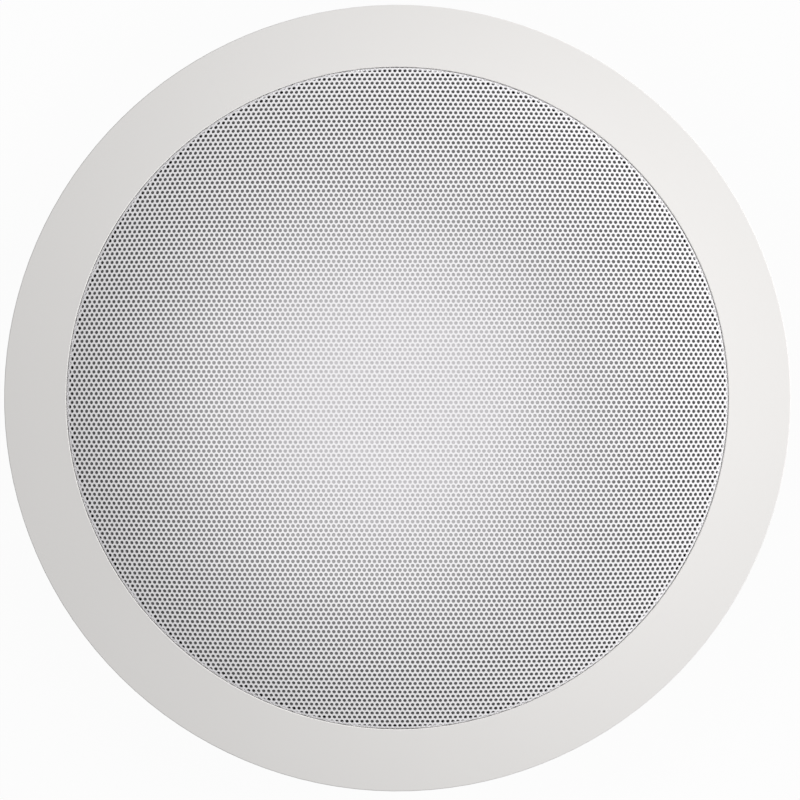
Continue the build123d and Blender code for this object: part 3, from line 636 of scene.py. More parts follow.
class Recipe:
    """A Geometry Nodes tree with named inputs, run once for each piece."""

    def __init__(self, name: str, **inputs: Iterable[str]) -> None:
        """Start a tree that takes a material and the inputs named.

        Args:
            name: The tree's name.
            inputs: The names of its other inputs, by their socket type.
        """
        self.tree = bpy.data.node_groups.new(name, "GeometryNodeTree")
        self.graph = Graph(self.tree)
        self.keys = {}
        for kind, labels in {"Material": ["Material"], **inputs}.items():
            for label in labels:
                item = self.tree.interface.new_socket(
                    label, in_out="INPUT", socket_type=f"NodeSocket{kind}"
                )
                self.keys[label] = item.identifier
        self.tree.interface.new_socket("Geometry", in_out="OUTPUT", socket_type="NodeSocketGeometry")
        self.source = self.graph.add("NodeGroupInput")

    def socket(self, label: str) -> Socket:
        """Return the socket of a named input."""
        return self.source.outputs[label]

    def value(self, label: str) -> Field:
        """Return a named input as a number."""
        return Field(self.graph, self.socket(label))

    def geometry(self, label: str) -> Socket:
        """Return the mesh of a named object input."""
        info = self.graph.add("GeometryNodeObjectInfo", {"Object": self.socket(label)})
        return info.outputs["Geometry"]

    def circle(self, steps: str, radius: str) -> Socket:
        """Return a circle whose number of points and radius are named inputs."""
        sizes = {"Resolution": self.socket(steps), "Radius": self.socket(radius)}
        return self.graph.out("GeometryNodeCurvePrimitiveCircle", sizes)

    def close(self, geometry: Socket) -> None:
        """End the tree with plain geometry that has the material of the input.

        Args:
            geometry: What the tree makes, which may hold instances.
        """
        plain = self.graph.out("GeometryNodeRealizeInstances", {"Geometry": geometry})
        looks = {"Geometry": plain, "Material": self.socket("Material")}
        dressed = self.graph.out("GeometryNodeSetMaterial", looks)
        self.graph.add("NodeGroupOutput", {"Geometry": dressed})

    def run(self, name: str, finish: Finish, values: dict[str, object], sharp: float | None) -> Piece:
        """Make one piece from the tree.

        Args:
            name: The piece's name.
            finish: What the surface looks like.
            values: What each input takes, by its name.
            sharp: The angle in degrees past which an edge stays crisp, or None for flat faces.

        Returns:
            The piece, as a plain mesh.
        """
        seed = bpy.data.meshes.new(f"{name}_seed")
        piece = bpy.data.objects.new(name, seed)
        modifier = piece.modifiers.new("recipe", "NODES")
        modifier.node_group = self.tree
        for label, value in {"Material": finish.material(), **values}.items():
            modifier[self.keys[label]] = value
        show(piece)
        evaluated = piece.evaluated_get(bpy.context.evaluated_depsgraph_get())
        mesh = bpy.data.meshes.new_from_object(evaluated)
        mesh.name = name
        piece.modifiers.remove(modifier)
        piece.data = mesh
        bpy.data.meshes.remove(seed)
        if sharp is not None:
            smooth(mesh, sharp)
        return piece


@dataclass
class GrilleSheet:
    """The steel grille: a perforated blank with a flat middle, an arched shoulder and a rim bent down.

    The blank is a honeycomb of small cells with one hole each. Forming keeps every length from the
    middle, so the rows run on over the bend and down the rim, as on the real sheet. Points within
    weld_gap become one, and least_reach keeps the forming from dividing by 0 in the middle.
    """

    pitch: float = 1.5 * MM
    hole_width: float = 1.06 * MM
    hole_sides: int = 8
    cell_sides: int = 6
    sheet: float = 0.6 * MM
    shoulder: float = 42.0 * MM
    rise: float = 6.4 * MM
    bend: float = 0.8 * MM
    foot_gap: float = 0.1 * MM
    weld_gap: float = 0.015 * MM
    least_reach: float = 0.0015 * MM
    sectors: int = 6
    crown: float = field(init=False)
    flat_reach: float = field(init=False)
    arch_radius: float = field(init=False)
    arch_reach: float = field(init=False)
    bend_angle: float = field(init=False)
    bend_reach: float = field(init=False)
    cell_reach: float = field(init=False)
    blank_reach: float = field(init=False)

    def __post_init__(self) -> None:
        """Work out the formed shape from the node's box."""
        low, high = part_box("grille")
        self.crown = high.z
        self.flat_reach = high.x - self.shoulder
        self.arch_radius = (self.shoulder**2 + self.rise**2) / (2 * self.rise)
        self.bend_angle = math.asin((self.shoulder - self.bend) / (self.arch_radius - self.bend))
        self.arch_reach = self.flat_reach + self.arch_radius * self.bend_angle
        self.bend_reach = self.arch_reach + self.bend * (QUARTER_TURN - self.bend_angle)
        drop = self.arch_radius - (self.arch_radius - self.bend) * math.cos(self.bend_angle)
        self.cell_reach = self.pitch / math.sqrt(3)
        rim = self.crown - drop - low.z - self.foot_gap
        self.blank_reach = self.bend_reach + rim - self.cell_reach

    def level(self, radius: float, depth: float) -> float:
        """Return the height of the flat middle and shoulder at a radius, a depth below the face."""
        past_flat = max(radius - self.flat_reach, 0.0)
        return self.crown - self.arch_radius + math.sqrt((self.arch_radius - depth) ** 2 - past_flat**2)

    def names(self) -> list[str]:
        """Return the names of the sheet's pieces."""
        return [f"grille_sheet_{i + 1}" for i in range(self.sectors)]

    def cell(self) -> Piece:
        """Make one cell of the blank.

        Returns:
            A flat hexagon, as a helper object. The hole in it has hole_sides corners and the area of
            the round one.
        """
        rim, sides = self.cell_sides, self.hole_sides
        hole = self.hole_width / 2 * math.sqrt(math.pi / (sides / 2 * math.sin(FULL_TURN / sides)))
        rim_turns = [FULL_TURN * (i + 0.5) / rim for i in range(rim)]
        hole_turns = [FULL_TURN * (i + 0.5) / sides for i in range(sides)]
        points = [(self.cell_reach * math.cos(a), self.cell_reach * math.sin(a), 0.0) for a in rim_turns]
        points += [(hole * math.cos(a), hole * math.sin(a), 0.0) for a in hole_turns]
        faces = []
        i = j = 0
        while i < rim or j < sides:
            here, there = i % rim, rim + j % sides
            if j == sides or (i < rim and rim_turns[i] <= hole_turns[j]):
                faces.append((here, (i + 1) % rim, there))
                i += 1
            else:
                faces.append((here, rim + (j + 1) % sides, there))
                j += 1
        return mesh_object("perforation_cell", points, faces=faces)

    def sizes(self) -> dict[str, float]:
        """List the sizes that the tree takes.

        Returns:
            Each size, by the name of its input.
        """
        return {
            "Pitch": self.pitch,
            "Sheet": self.sheet,
            "Blank Reach": self.blank_reach,
            "Sectors": float(self.sectors),
            "Crown": self.crown,
            "Flat Reach": self.flat_reach,
            "Arch Radius": self.arch_radius,
            "Arch Reach": self.arch_reach,
            "Bend Radius": self.bend,
            "Bend Reach": self.bend_reach,
            "Bend Angle": self.bend_angle,
        }

    def _laid_out(self, recipe: Recipe) -> Socket:
        """Lay out the cells of one sector in staggered rows.

        Args:
            recipe: The tree.

        Returns:
            The sector's flat blank, without thickness.
        """
        graph = recipe.graph
        pitch, blank, sectors = (recipe.value(label) for label in ("Pitch", "Blank Reach", "Sectors"))
        row_pitch = pitch * (math.sqrt(3) / 2)
        half_rows = (blank / row_pitch).floor() + 1
        half_columns = (blank / pitch).floor() + 1
        spread = {
            "Size X": half_columns * pitch * 2,
            "Size Y": half_rows * row_pitch * 2,
            "Vertices X": half_columns * 2 + 1,
            "Vertices Y": half_rows * 2 + 1,
        }
        grid = graph.out("GeometryNodeMeshGrid", spread)
        _, y, _ = graph.position()
        row = (y / row_pitch + 0.5).floor()
        stagger = graph.vector(graph.math("FLOORED_MODULO", row, 2.0) * pitch * 0.5, 0.0, 0.0)
        staggered = graph.out("GeometryNodeSetPosition", {"Geometry": grid, "Offset": stagger})
        x, y, _ = graph.position()
        share = (graph.math("ARCTAN2", y, x) + math.pi) / FULL_TURN
        sector = (share * sectors).floor().at_most(sectors - 1)
        elsewhere = (sector - recipe.value("Sector")).size() > 0.5
        left_out = {"Geometry": staggered, "Selection": elsewhere + (x.hypot(y) > blank)}
        kept = graph.out("GeometryNodeDeleteGeometry", left_out, domain="POINT")
        cells = graph.place(kept, recipe.geometry("Cell"))
        return graph.weld(graph.out("GeometryNodeRealizeInstances", {"Geometry": cells}), self.weld_gap)

    def _thickened(self, recipe: Recipe, layer: Socket) -> Socket:
        """Give the blank its thickness.

        Args:
            recipe: The tree.
            layer: The blank without thickness, at z = 0.

        Returns:
            The blank with its front at z = 0, closed all round.
        """
        graph = recipe.graph
        sheet = recipe.value("Sheet")
        lower = graph.vector(0.0, 0.0, sheet * -1.0)
        back = graph.out("GeometryNodeSetPosition", {"Geometry": layer, "Offset": lower})
        upward = {"Mesh": back, "Offset": graph.vector(0.0, 0.0, sheet)}
        raised = graph.out(
            "GeometryNodeExtrudeMesh", {**upward, "Offset Scale": 1.0, "Individual": False}, mode="FACES"
        )
        flipped = graph.out("GeometryNodeFlipFaces", {"Mesh": back})
        return graph.weld(graph.join(raised, flipped), self.weld_gap)

    def _formed(self, recipe: Recipe, blank: Socket) -> Socket:
        """Form the blank into middle, shoulder, bend and rim.

        Args:
            recipe: The tree.
            blank: The flat blank, with its front at z = 0.

        Returns:
            The formed sheet.
        """
        graph = recipe.graph
        flat, arch, bend = (recipe.value(label) for label in ("Flat Reach", "Arch Radius", "Bend Radius"))
        x, y, depth = graph.position()
        reach = x.hypot(y)
        arch_turn = (reach.at_most(recipe.value("Arch Reach")) - flat).at_least(0.0) / arch
        past_arch = (reach - recipe.value("Arch Reach")) / bend
        bend_turn = past_arch.at_least(0.0).at_most(QUARTER_TURN - recipe.value("Bend Angle"))
        turn = arch_turn + bend_turn
        down_rim = (reach - recipe.value("Bend Reach")).at_least(0.0)
        radius = reach.at_most(flat) + arch_turn.sin() * (arch - bend) + turn.sin() * (bend + depth)
        height = arch_turn.cos() * (arch - bend) + turn.cos() * (bend + depth)
        level = height + recipe.value("Crown") - arch - down_rim
        stretch = radius / reach.at_least(self.least_reach)
        place = graph.vector(x * stretch, y * stretch, level)
        return graph.out("GeometryNodeSetPosition", {"Geometry": blank, "Position": place})

    def build(self) -> list[Piece]:
        """Make the sectors of the sheet, and let them stand for the grille.

        Returns:
            One piece for each sector.
        """
        recipe = Recipe("formed_perforated_sheet", Object=["Cell"], Float=["Sector", *self.sizes()])
        recipe.close(self._formed(recipe, self._thickened(recipe, self._laid_out(recipe))))
        cell = self.cell()
        pieces = []
        for i, name in enumerate(self.names()):
            values = {"Cell": cell, "Sector": float(i), **self.sizes()}
            piece = recipe.run(name, GRILLE_PAINT, values, sharp=None)
            pieces.append(settle(piece, "chassis", "white_grille_paint", "grille"))
        discard(cell)
        return pieces


@dataclass
class Scrim:
    """The acoustic cloth stretched inside the grille."""

    grille: GrilleSheet
    cloth: float = 0.4 * MM
    rings: int = 28
    steps: int = 96

    def build(self) -> list[Piece]:
        """Make the cloth along the inside of the grille.

        Returns:
            The cloth, as the only piece.
        """
        _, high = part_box("grille_scrim")
        radius, depth = high.x, self.grille.crown - high.z
        reaches = [radius * i / self.rings for i in range(self.rings + 1)]
        face = [(r, self.grille.level(r, depth)) for r in reaches]
        back = [(r, z - self.cloth) for r, z in face]
        piece = lathe("scrim_sheet", back + face[::-1], self.steps, SCRIM_CLOTH)
        settle(piece, "chassis", "scrim_cloth", "grille_scrim")
        self.grille.names()
        return [piece]


@dataclass
class Suspension:
    """The rubber roll and the corrugated cloth that carry the cone."""

    rim_radius: float = 70.0 * MM
    roll_width: float = 12.4 * MM
    rubber: float = 0.8 * MM
    glued_edge: float = 3.0 * MM
    spider_cloth: float = 0.5 * MM
    spider_wave: float = 1.4 * MM
    spider_waves: int = 4
    spider_flat: float = 40.2 * MM
    spider_collar: float = 2.0 * MM
    roll_steps: int = 20
    wave_steps: int = 10
    steps: int = 96

    def build(self) -> list[Piece]:
        """Make the roll and the spider, held by the basket outside and by the cone inside."""
        return [self._roll(), self._spider()]

    def _roll(self) -> Piece:
        """Make the rubber half roll.

        Returns:
            The ring between the basket and the cone.
        """
        low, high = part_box("woofer_surround")
        base, outer, roll = low.z, high.x, self.roll_width / 2
        middle = (self.rim_radius - roll, base)
        inner = middle[0] - roll
        shoulder = math.degrees(math.asin(self.rubber / (roll + self.rubber)))
        outline = [(inner - self.glued_edge, base)]
        outline += arc(middle, roll, 180.0, 0.0, self.roll_steps)
        outline += [(outer, base), (outer, base + self.rubber)]
        outline += arc(middle, roll + self.rubber, shoulder, 180.0 - shoulder, self.roll_steps)
        outline += [(inner - self.glued_edge, base + self.rubber)]
        piece = lathe("surround_roll", outline, self.steps, SURROUND_RUBBER)
        return self._stretch(piece, inner, self.rim_radius, "woofer_surround")

    def _spider(self) -> Piece:
        """Make the corrugated cloth disc.

        Returns:
            The disc between the basket's ledge and the former.
        """
        low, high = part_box("spider")
        inside = self._reaches(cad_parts["spider"]).min()
        collar = inside + self.spider_collar
        count = self.spider_waves * self.wave_steps
        face = [(high.x, low.z)]
        for i in range(count + 1):
            swell = (1 - math.cos(FULL_TURN * i / self.wave_steps)) / 2
            radius = self.spider_flat + (collar - self.spider_flat) * i / count
            face.append((radius, low.z + self.spider_wave * swell))
        face.append((inside, low.z))
        back = [(r, z + self.spider_cloth) for r, z in face]
        piece = lathe("spider_disc", face[::-1] + back, self.steps, SPIDER_CLOTH)
        return self._stretch(piece, collar, self.spider_flat, "spider")

    def _reaches(self, piece: Piece) -> np.ndarray:
        """Return how far each vertex of a piece is from the axis."""
        return np.array([v.co.xy.length for v in piece.data.vertices])

    def _stretch(self, piece: Piece, moving: float, fixed: float, node: str) -> Piece:
        """Bake a ring's place into its mesh and hide its node; the share by which each point would follow
        the cone is worked out but not used.

        Args:
            piece: The ring.
            moving: The radius on the cone's side, inside which the share is 1.
            fixed: The radius on the basket's side, outside which the share is 0.
            node: The node that it stands for.

        Returns:
            The ring.
        """
        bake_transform(piece)
        share = np.clip((fixed - self._reaches(piece)) / (fixed - moving), 0.0, 1.0)
        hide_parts(node)
        return piece


@dataclass(frozen=True)
class ScrewSize:
    """The shank, cross recess and rolled thread of one size of screw."""

    shank_radius: float
    slot_length: float
    slot_width: float
    slot_depth: float
    thread_pitch: float
    thread_depth: float


@dataclass
class ScrewSet:
    """Pan-head screws of one size and length, upright with their seats at z = 0 until they are placed."""

    size: ScrewSize
    head_radius: float
    head_height: float
    shank_length: float
    edge_share: float = 1 / 3
    edge_steps: int = 6
    head_steps: int = 36
    tip_share: float = 0.7
    thread_steps: int = 16
    rows_per_turn: int = 4
    sharp: float = 30.0

    def blank(self) -> Piece:
        """Make the head without its recess.

        Returns:
            A helper object.
        """
        edge = self.head_height * self.edge_share
        outline = [(0.0, 0.0), (self.head_radius, 0.0)]
        outline += arc((self.head_radius - edge, self.head_height - edge), edge, 0.0, 90.0, self.edge_steps)
        outline.append((0.0, self.head_height))
        points, faces = turned(outline, self.head_steps)
        piece = mesh_object("screw_blank", points, faces=faces)
        piece.data.materials.append(SCREW_STEEL.material())
        return piece

    def recess(self) -> Piece:
        """Make the cross that is cut into the head.

        Returns:
            A helper object.
        """
        arm, half, depth = self.size.slot_length / 2, self.size.slot_width / 2, self.size.slot_depth
        x, y = np.array([(arm, -half), (arm, half), (half, half)]).T
        corners = [*zip(x, y), *zip(-y, x), *zip(-x, -y), *zip(y, -x)]
        count = len(corners)
        points = [(*c, self.head_height + z) for z in (-depth, depth) for c in corners]
        low, high = range(count), range(count, 2 * count)
        return mesh_object("screw_recess", points, faces=[low[::-1], high, *skin(low, high)])

    def shank(self) -> Piece:
        """Make the threaded shank.

        Returns:
            A helper object.
        """
        size, steps = self.size, self.thread_steps
        rows = math.ceil(self.shank_length / size.thread_pitch * self.rows_per_turn)
        points = []
        for row in range(rows + 1):
            z = -self.shank_length * row / rows
            taper = min(1.0, (self.shank_length + z) / size.thread_pitch)
            narrowed = self.tip_share + (1 - self.tip_share) * taper
            for i in range(steps):
                ridge = abs(2 * ((z / size.thread_pitch - i / steps) % 1.0) - 1)
                radius = (size.shank_radius - size.thread_depth * (1 - ridge * taper)) * narrowed
                angle = FULL_TURN * i / steps
                points.append((radius * math.cos(angle), radius * math.sin(angle), z))
        rings = [range(row * steps, (row + 1) * steps) for row in range(rows + 1)]
        faces = [face for above, below in zip(rings, rings[1:]) for face in skin(below, above)]
        return mesh_object("screw_shank", points, faces=[*faces, rings[0], rings[-1][::-1]])

    @staticmethod
    def recipe() -> Recipe:
        """Start the tree that cuts the recess and puts a screw at every place.

        Returns:
            The tree, for screws of any size.
        """
        recipe = Recipe(
            "cross_recess_screws", Object=["Blank", "Recess", "Shank", "Places"], Rotation=["Turn"]
        )
        cut = {0: recipe.geometry("Blank"), 1: recipe.geometry("Recess")}
        head = recipe.graph.out("GeometryNodeMeshBoolean", cut, operation="DIFFERENCE", solver="EXACT")
        screw = recipe.graph.join(head, recipe.geometry("Shank"))
        recipe.close(recipe.graph.place(recipe.geometry("Places"), screw, Rotation=recipe.socket("Turn")))
        return recipe

    def place(
        self, recipe: Recipe, name: str, body: str, node: str, places: Points, tilt: float = 0.0
    ) -> Piece:
        """Put screws of this size where a node has them.

        Args:
            recipe: The screw tree.
            name: The piece's name.
            body: The body that it rides.
            node: The node that it stands for.
            places: Where the seats of the heads are.
            tilt: How far the screws are turned from upright, about X.

        Returns:
            The screws as one piece.
        """
        helpers = {
            "Blank": self.blank(),
            "Recess": self.recess(),
            "Shank": self.shank(),
            "Places": mesh_object("screw_places", places),
        }
        piece = recipe.run(name, SCREW_STEEL, {**helpers, "Turn": (tilt, 0.0, 0.0)}, self.sharp)
        discard(*helpers.values())
        return settle(piece, body, "screw_steel", node)


@dataclass
class Fasteners:
    """The clamp screws, the woofer's screws and the board's screws."""

    clamp_size: ScrewSize = ScrewSize(
        shank_radius=2.1 * MM,
        slot_length=4.4 * MM,
        slot_width=1.1 * MM,
        slot_depth=1.5 * MM,
        thread_pitch=1.4 * MM,
        thread_depth=0.4 * MM,
    )
    woofer_size: ScrewSize = ScrewSize(
        shank_radius=1.5 * MM,
        slot_length=3.4 * MM,
        slot_width=0.9 * MM,
        slot_depth=1.1 * MM,
        thread_pitch=1.2 * MM,
        thread_depth=0.35 * MM,
    )
    board_size: ScrewSize = ScrewSize(
        shank_radius=1.2 * MM,
        slot_length=2.8 * MM,
        slot_width=0.7 * MM,
        slot_depth=0.9 * MM,
        thread_pitch=1.0 * MM,
        thread_depth=0.25 * MM,
    )
    clamp_head: float = 2.6 * MM
    woofer_head: float = 2.0 * MM
    woofer_circle: float = 78.5 * MM
    board_head_radius: float = 2.4 * MM
    board_screw_inset: float = 4.0 * MM

    def build(self) -> list[Piece]:
        """Make every screw.

        Returns:
            The clamp screws, the woofer's screws and the board's.
        """
        recipe = ScrewSet.recipe()
        clamp_screws = [self._clamp_screw(recipe, i) for i in CLAMPS]
        return [*clamp_screws, self._woofer_screws(recipe), self._board_screws(recipe)]

    def _clamp_screw(self, recipe: Recipe, number: int) -> Piece:
        """Make the screw of one clamp.

        Args:
            recipe: The screw tree.
            number: The clamp's number.

        Returns:
            The screw.
        """
        node = f"clamp_screw_{number}"
        low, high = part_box(node)
        middle, seat = (low + high) / 2, high.z - self.clamp_head
        screw = ScrewSet(self.clamp_size, (high.x - low.x) / 2, self.clamp_head, seat - low.z)
        places = [(middle.x, middle.y, seat)]
        return screw.place(recipe, f"clamp_bolt_{number}", f"clamp_{number}_screw", node, places)

    def _woofer_screws(self, recipe: Recipe) -> Piece:
        """Make the screws that hold the basket.

        Args:
            recipe: The screw tree.

        Returns:
            The four screws as one piece.
        """
        low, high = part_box("woofer_screws")
        reach, seat = self.woofer_circle, high.z - self.woofer_head
        screw = ScrewSet(self.woofer_size, high.x - reach, self.woofer_head, seat - low.z)
        places = [(reach, 0, seat), (0, reach, seat), (-reach, 0, seat), (0, -reach, seat)]
        return screw.place(recipe, "woofer_fixings", "chassis", "woofer_screws", places)

    def _board_screws(self, recipe: Recipe) -> Piece:
        """Make the screws that hold the crossover board, whose heads face -Y.

        Args:
            recipe: The screw tree.

        Returns:
            The four screws as one piece.
        """
        low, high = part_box("board_screws")
        board_low, board_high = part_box("crossover_board")
        seat, inset = board_low.y, self.board_screw_inset
        screw = ScrewSet(self.board_size, self.board_head_radius, seat - low.y, high.y - seat)
        places = [
            (x, seat, z)
            for x in (board_low.x + inset, board_high.x - inset)
            for z in (board_low.z + inset, board_high.z - inset)
        ]
        return screw.place(recipe, "board_fixings", "chassis", "board_screws", places, QUARTER_TURN)


@dataclass
class Crossover:
    """What stands on the crossover board: the wound coil and the leads of its parts."""

    cheek: float = 1.0 * MM
    core_radius: float = 4.0 * MM
    wire: float = 0.96 * MM
    turns: int = 6
    ring_steps: int = 48
    wire_steps: int = 10
    turn_sharp: float = 60.0
    lead: float = 0.8 * MM
    lead_reach: float = 2.6 * MM
    lead_bend: float = 1.2 * MM
    bend_steps: int = 6
    lead_sharp: float = 50.0
    coil_radius: float = field(init=False)
    coil_height: float = field(init=False)
    coil_place: Matrix = field(init=False)

    def __post_init__(self) -> None:
        """Take the coil's size from its node, and lay its axis outwards from the board, along -Y."""
        low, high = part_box("crossover_coil")
        middle = (low + high) / 2
        self.coil_radius = (high.x - low.x) / 2
        self.coil_height = high.y - low.y
        seat = Matrix.Translation(Vector((middle.x, high.y, middle.z)))
        self.coil_place = seat @ Matrix.Rotation(QUARTER_TURN, 4, "X")

    def build(self) -> list[Piece]:
        """Make the coil and the leads."""
        return [self._spool(), self._turns(), self._leads()]

    def _spool(self) -> Piece:
        """Make the spool of the coil.

        Returns:
            The spool, in place.
        """
        radius, height = self.coil_radius, self.coil_height
        hub = radius - self.cheek - self.wire / 2
        outline = [
            (self.core_radius, 0.0),
            (radius, 0.0),
            (radius, self.cheek),
            (hub, self.cheek),
            (hub, height - self.cheek),
            (radius, height - self.cheek),
            (radius, height),
            (self.core_radius, height),
        ]
        piece = lathe("coil_spool", outline, self.ring_steps, BLACK_PLASTIC)
        piece.data.transform(self.coil_place)
        return settle(piece, "chassis", "black_plastic", "crossover_coil")

    def _turns(self) -> Piece:
        """Wind the copper turns between the cheeks.

        Returns:
            The turns, in place.
        """
        rise = (self.coil_height - 2 * self.cheek) / self.turns
        counts = {"Turns": self.turns, "Ring Steps": self.ring_steps, "Wire Steps": self.wire_steps}
        sizes = {
            "Rise": rise,
            "Start": self.cheek + rise / 2,
            "Ring Radius": self.coil_radius - self.cheek,
            "Wire Radius": self.wire / 2,
        }
        recipe = Recipe("wound_turns", Int=counts, Float=sizes)
        graph = recipe.graph
        ring = recipe.circle("Ring Steps", "Ring Radius")
        wire = recipe.circle("Wire Steps", "Wire Radius")
        turn = graph.out("GeometryNodeCurveToMesh", {"Curve": ring, "Profile Curve": wire})
        stack = {
            "Count": recipe.socket("Turns"),
            "Start Location": graph.vector(0.0, 0.0, recipe.value("Start")),
            "Offset": graph.vector(0.0, 0.0, recipe.value("Rise")),
        }
        recipe.close(graph.place(graph.out("GeometryNodeMeshLine", stack), turn))
        piece = recipe.run("coil_turns", COPPER_WIRE, {**counts, **sizes}, self.turn_sharp)
        piece.data.transform(self.coil_place)
        return settle(piece, "chassis", "copper_wire")

    def _routes(self) -> Piece:
        """Lay the routes of the leads, out of each end and down to the board.

        Returns:
            A helper object.
        """
        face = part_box("crossover_board")[0].y
        points, edges = [], []
        for node in ("crossover_capacitor", "crossover_resistor"):
            low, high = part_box(node)
            x, y, _ = (low + high) / 2
            for end, out in ((high.z, 1), (low.z, -1)):
                start, corner = len(points), end + out * self.lead_reach
                points += [(x, y, end - out * self.lead), (x, y, corner), (x, face, corner)]
                edges += [(start, start + 1), (start + 1, start + 2)]
        return mesh_object("lead_routes", points, edges)

    def _leads(self) -> Piece:
        """Make the bent leads of the capacitor and the resistor, soldered into the board.

        Returns:
            The leads as one piece.
        """
        counts = {"Wire Steps": self.wire_steps, "Bend Steps": self.bend_steps}
        sizes = {"Bend Radius": self.lead_bend, "Wire Radius": self.lead / 2}
        recipe = Recipe("bent_wires", Object=["Routes"], Int=counts, Float=sizes)
        graph = recipe.graph
        curve = graph.out("GeometryNodeMeshToCurve", {0: recipe.geometry("Routes")})
        bends = {"Radius": recipe.socket("Bend Radius"), "Count": recipe.socket("Bend Steps")}
        eased = graph.out("GeometryNodeFilletCurve", {"Curve": curve, **bends}, mode="POLY")
        wire = recipe.circle("Wire Steps", "Wire Radius")
        tube = {"Curve": eased, "Profile Curve": wire, "Fill Caps": True}
        recipe.close(graph.out("GeometryNodeCurveToMesh", tube))
        routes = self._routes()
        values = {"Routes": routes, **counts, **sizes}
        piece = recipe.run("component_leads", TINNED_WIRE, values, self.lead_sharp)
        discard(routes)
        return settle(piece, "chassis", "screw_steel")


@dataclass
class KeptNodes:
    """The nodes whose solids are shown as they are, each with its finish."""

    clamps: Iterable[int] = CLAMPS

    def finishes(self) -> dict[Finish, list[str]]:
        """List the kept nodes.

        Returns:
            The names of the nodes, by their finish.
        """
        return {
            WHITE_MOULDING: ["bezel_frame"],
            BASKET_PAINT: ["woofer_basket"],
            GASKET_FOAM: ["woofer_gasket"],
            CONE_PAPER: ["woofer_cone"],
            FORMER_FOIL: ["voice_coil_former"],
            WINDING_WIRE: ["voice_coil_winding"],
            FERRITE: ["magnet"],
            ZINC_STEEL: ["top_plate", "yoke", "tweeter_nut", "tweeter_pot", "tweeter_plate"],
            BLACK_PLASTIC: ["tweeter_post", "tweeter_cup", "tweeter_face", "terminal_block"],
            NICKEL: ["tweeter_magnet"],
            DOME_SILK: ["tweeter_dome"],
            BOARD_LAMINATE: ["crossover_board"],
            CAPACITOR_CASE: ["crossover_capacitor"],
            RESISTOR_CEMENT: ["crossover_resistor"],
            RED_BUTTON: ["terminal_button_red"],
            BLACK_BUTTON: ["terminal_button_black"],
            CLAMP_NYLON: [f"clamp_dog_{i}" for i in self.clamps],
        }

    def build(self) -> list[Piece]:
        """Give every kept node its finish.

        Returns:
            The nodes' objects.
        """
        pieces = []
        for finish, nodes in self.finishes().items():
            for node in nodes:
                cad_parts[node].material_slots[0].material = finish.material()
                pieces.append(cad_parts[node])
        return pieces


@dataclass(frozen=True)
class Lamp:
    """A round soft lamp that shines on the speaker's face. Its angles are in degrees."""

    name: str
    azimuth: float
    zenith: float
    distance: float
    width: float
    power: float

    def build(self) -> None:
        """Add the lamp, turned to the origin."""
        light = bpy.data.lights.new(self.name, "AREA")
        light.shape = "DISK"
        light.size = self.width
        light.energy = self.power
        lamp = bpy.data.objects.new(self.name, light)
        turn, lean = math.radians(self.azimuth), math.radians(self.zenith)
        towards = Vector((math.sin(lean) * math.cos(turn), math.sin(lean) * math.sin(turn), math.cos(lean)))
        lamp.location = towards * self.distance
        lamp.rotation_mode = "QUATERNION"
        lamp.rotation_quaternion = towards.to_track_quat("Z", "Y")
        lamp.visible_camera = False
        show(lamp)


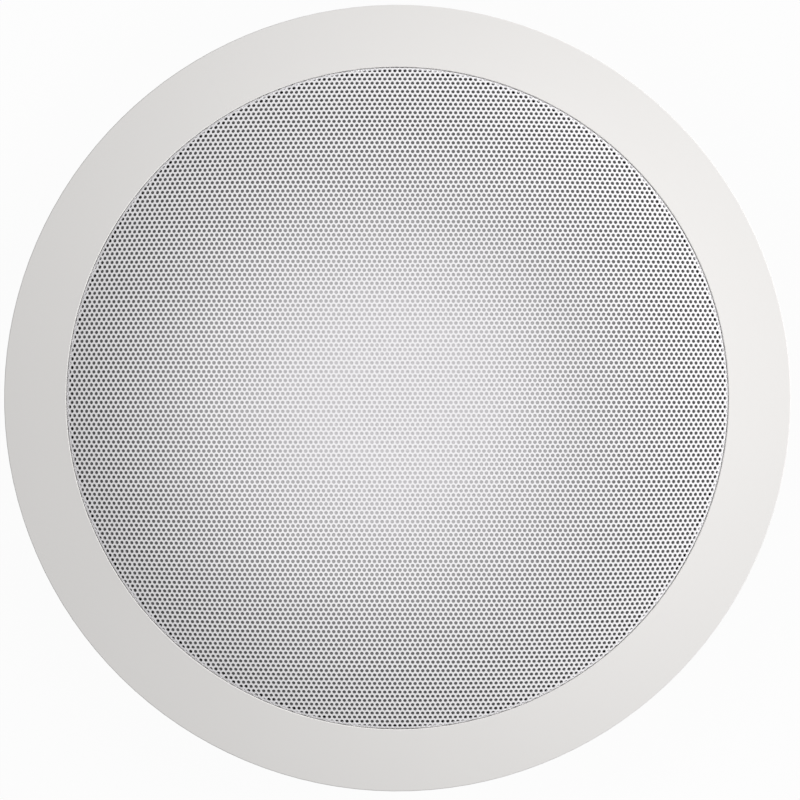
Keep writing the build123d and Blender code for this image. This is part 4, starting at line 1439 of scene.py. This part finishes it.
@dataclass
class Studio:
    """A pale floor, soft lamps and white surroundings."""

    key: Lamp = Lamp("key_lamp", azimuth=21.5, zenith=72.0, distance=3.0, width=1.2, power=84.0)
    overhead: Lamp = Lamp("overhead_lamp", azimuth=0.0, zenith=0.0, distance=0.36, width=0.1, power=0.52)
    floor_reach: float = 3.0
    floor_white: float = 0.6
    shadow_share: float = 0.04
    ambient: float = 0.367

    def build(self) -> None:
        """Add the floor, the surroundings and the lamps."""
        bpy.context.scene.view_settings.view_transform = "Standard"
        self._floor()
        self._surroundings()
        self.key.build()
        self.overhead.build()

    def _seen_directly(self, graph: Graph) -> Field:
        """Tell the camera's look at a surface, also through a mirror or glass, from light that falls on it.

        Args:
            graph: The graph of the surface or the surroundings.

        Returns:
            1 where it is looked at, else 0.
        """
        path = graph.add("ShaderNodeLightPath")
        camera, glossy, through = (
            Field(graph, path.outputs[f"Is {kind} Ray"]) for kind in ("Camera", "Glossy", "Transmission")
        )
        return camera.at_least(glossy).at_least(through)

    def _floor(self) -> None:
        """Add the floor under the speaker, white to the camera but for the speaker's shadow."""
        reach, level = self.floor_reach, CAD_BOX[0].z
        signs = ((-1, -1), (1, -1), (1, 1), (-1, 1))
        corners = [(x * reach, y * reach, level) for x, y in signs]
        floor = mesh_object("floor", corners, faces=[range(len(corners))])
        material = bpy.data.materials.new("floor_white")
        material.use_nodes = True
        graph = Graph(material.node_tree)
        graph.tree.nodes.clear()
        lit = graph.out("ShaderNodeBsdfDiffuse", {"Color": (*(self.floor_white,) * 3, 1.0)})
        bright = graph.out("ShaderNodeEmission", {"Color": FULL_WHITE, "Strength": 1.0})
        share = self._seen_directly(graph) * (1 - self.shadow_share)
        mix = graph.out("ShaderNodeMixShader", {0: share, 1: lit, 2: bright})
        graph.add("ShaderNodeOutputMaterial", {"Surface": mix})
        floor.data.materials.append(material)
        show(floor)

    def _surroundings(self) -> None:
        """Make the surroundings white to the camera, and softer as light."""
        world = bpy.data.worlds.new("studio")
        world.use_nodes = True
        graph = Graph(world.node_tree)
        graph.tree.nodes.clear()
        strength = self._seen_directly(graph) * (1 - self.ambient) + self.ambient
        sky = graph.out("ShaderNodeBackground", {"Color": FULL_WHITE, "Strength": strength})
        graph.add("ShaderNodeOutputWorld", {"Surface": sky})
        bpy.context.scene.world = world


@dataclass
class Viewpoint:
    """The camera straight in front of the speaker's face."""

    distance: float = 1.5
    sensor: float = 36.0
    image: float = 800.0
    bezel_pixels: float = 786.5
    off_right: float = 0.77 * MM
    off_up: float = -0.56 * MM
    edge_level: float = 2.6 * MM

    def build(self) -> None:
        """Add the camera, with the lens that gives the bezel its width in the picture."""
        low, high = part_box("bezel_frame")
        share = self.bezel_pixels / self.image
        camera = bpy.data.cameras.new("front_camera")
        camera.sensor_width = self.sensor
        camera.lens = share * self.sensor * self.distance / (high.x - low.x)
        holder = bpy.data.objects.new("front_camera", camera)
        holder.location = (self.off_right, self.off_up, self.distance + self.edge_level)
        show(holder)
        bpy.context.scene.camera = holder


def main() -> None:
    """Build camera and studio, then each sub-assembly in order, and report its pieces."""
    logging.basicConfig(level=logging.INFO, format="%(name)s: %(message)s")
    Viewpoint().build()
    Studio().build()
    grille = GrilleSheet()
    for assembly in (grille, Scrim(grille), Suspension(), Fasteners(), Crossover(), KeptNodes()):
        for piece in assembly.build():
            faces = len(piece.data.polygons)
            LOG.info("%s: %s, %d faces", type(assembly).__name__, piece.name, faces)


if __name__ == "__main__":
    main()
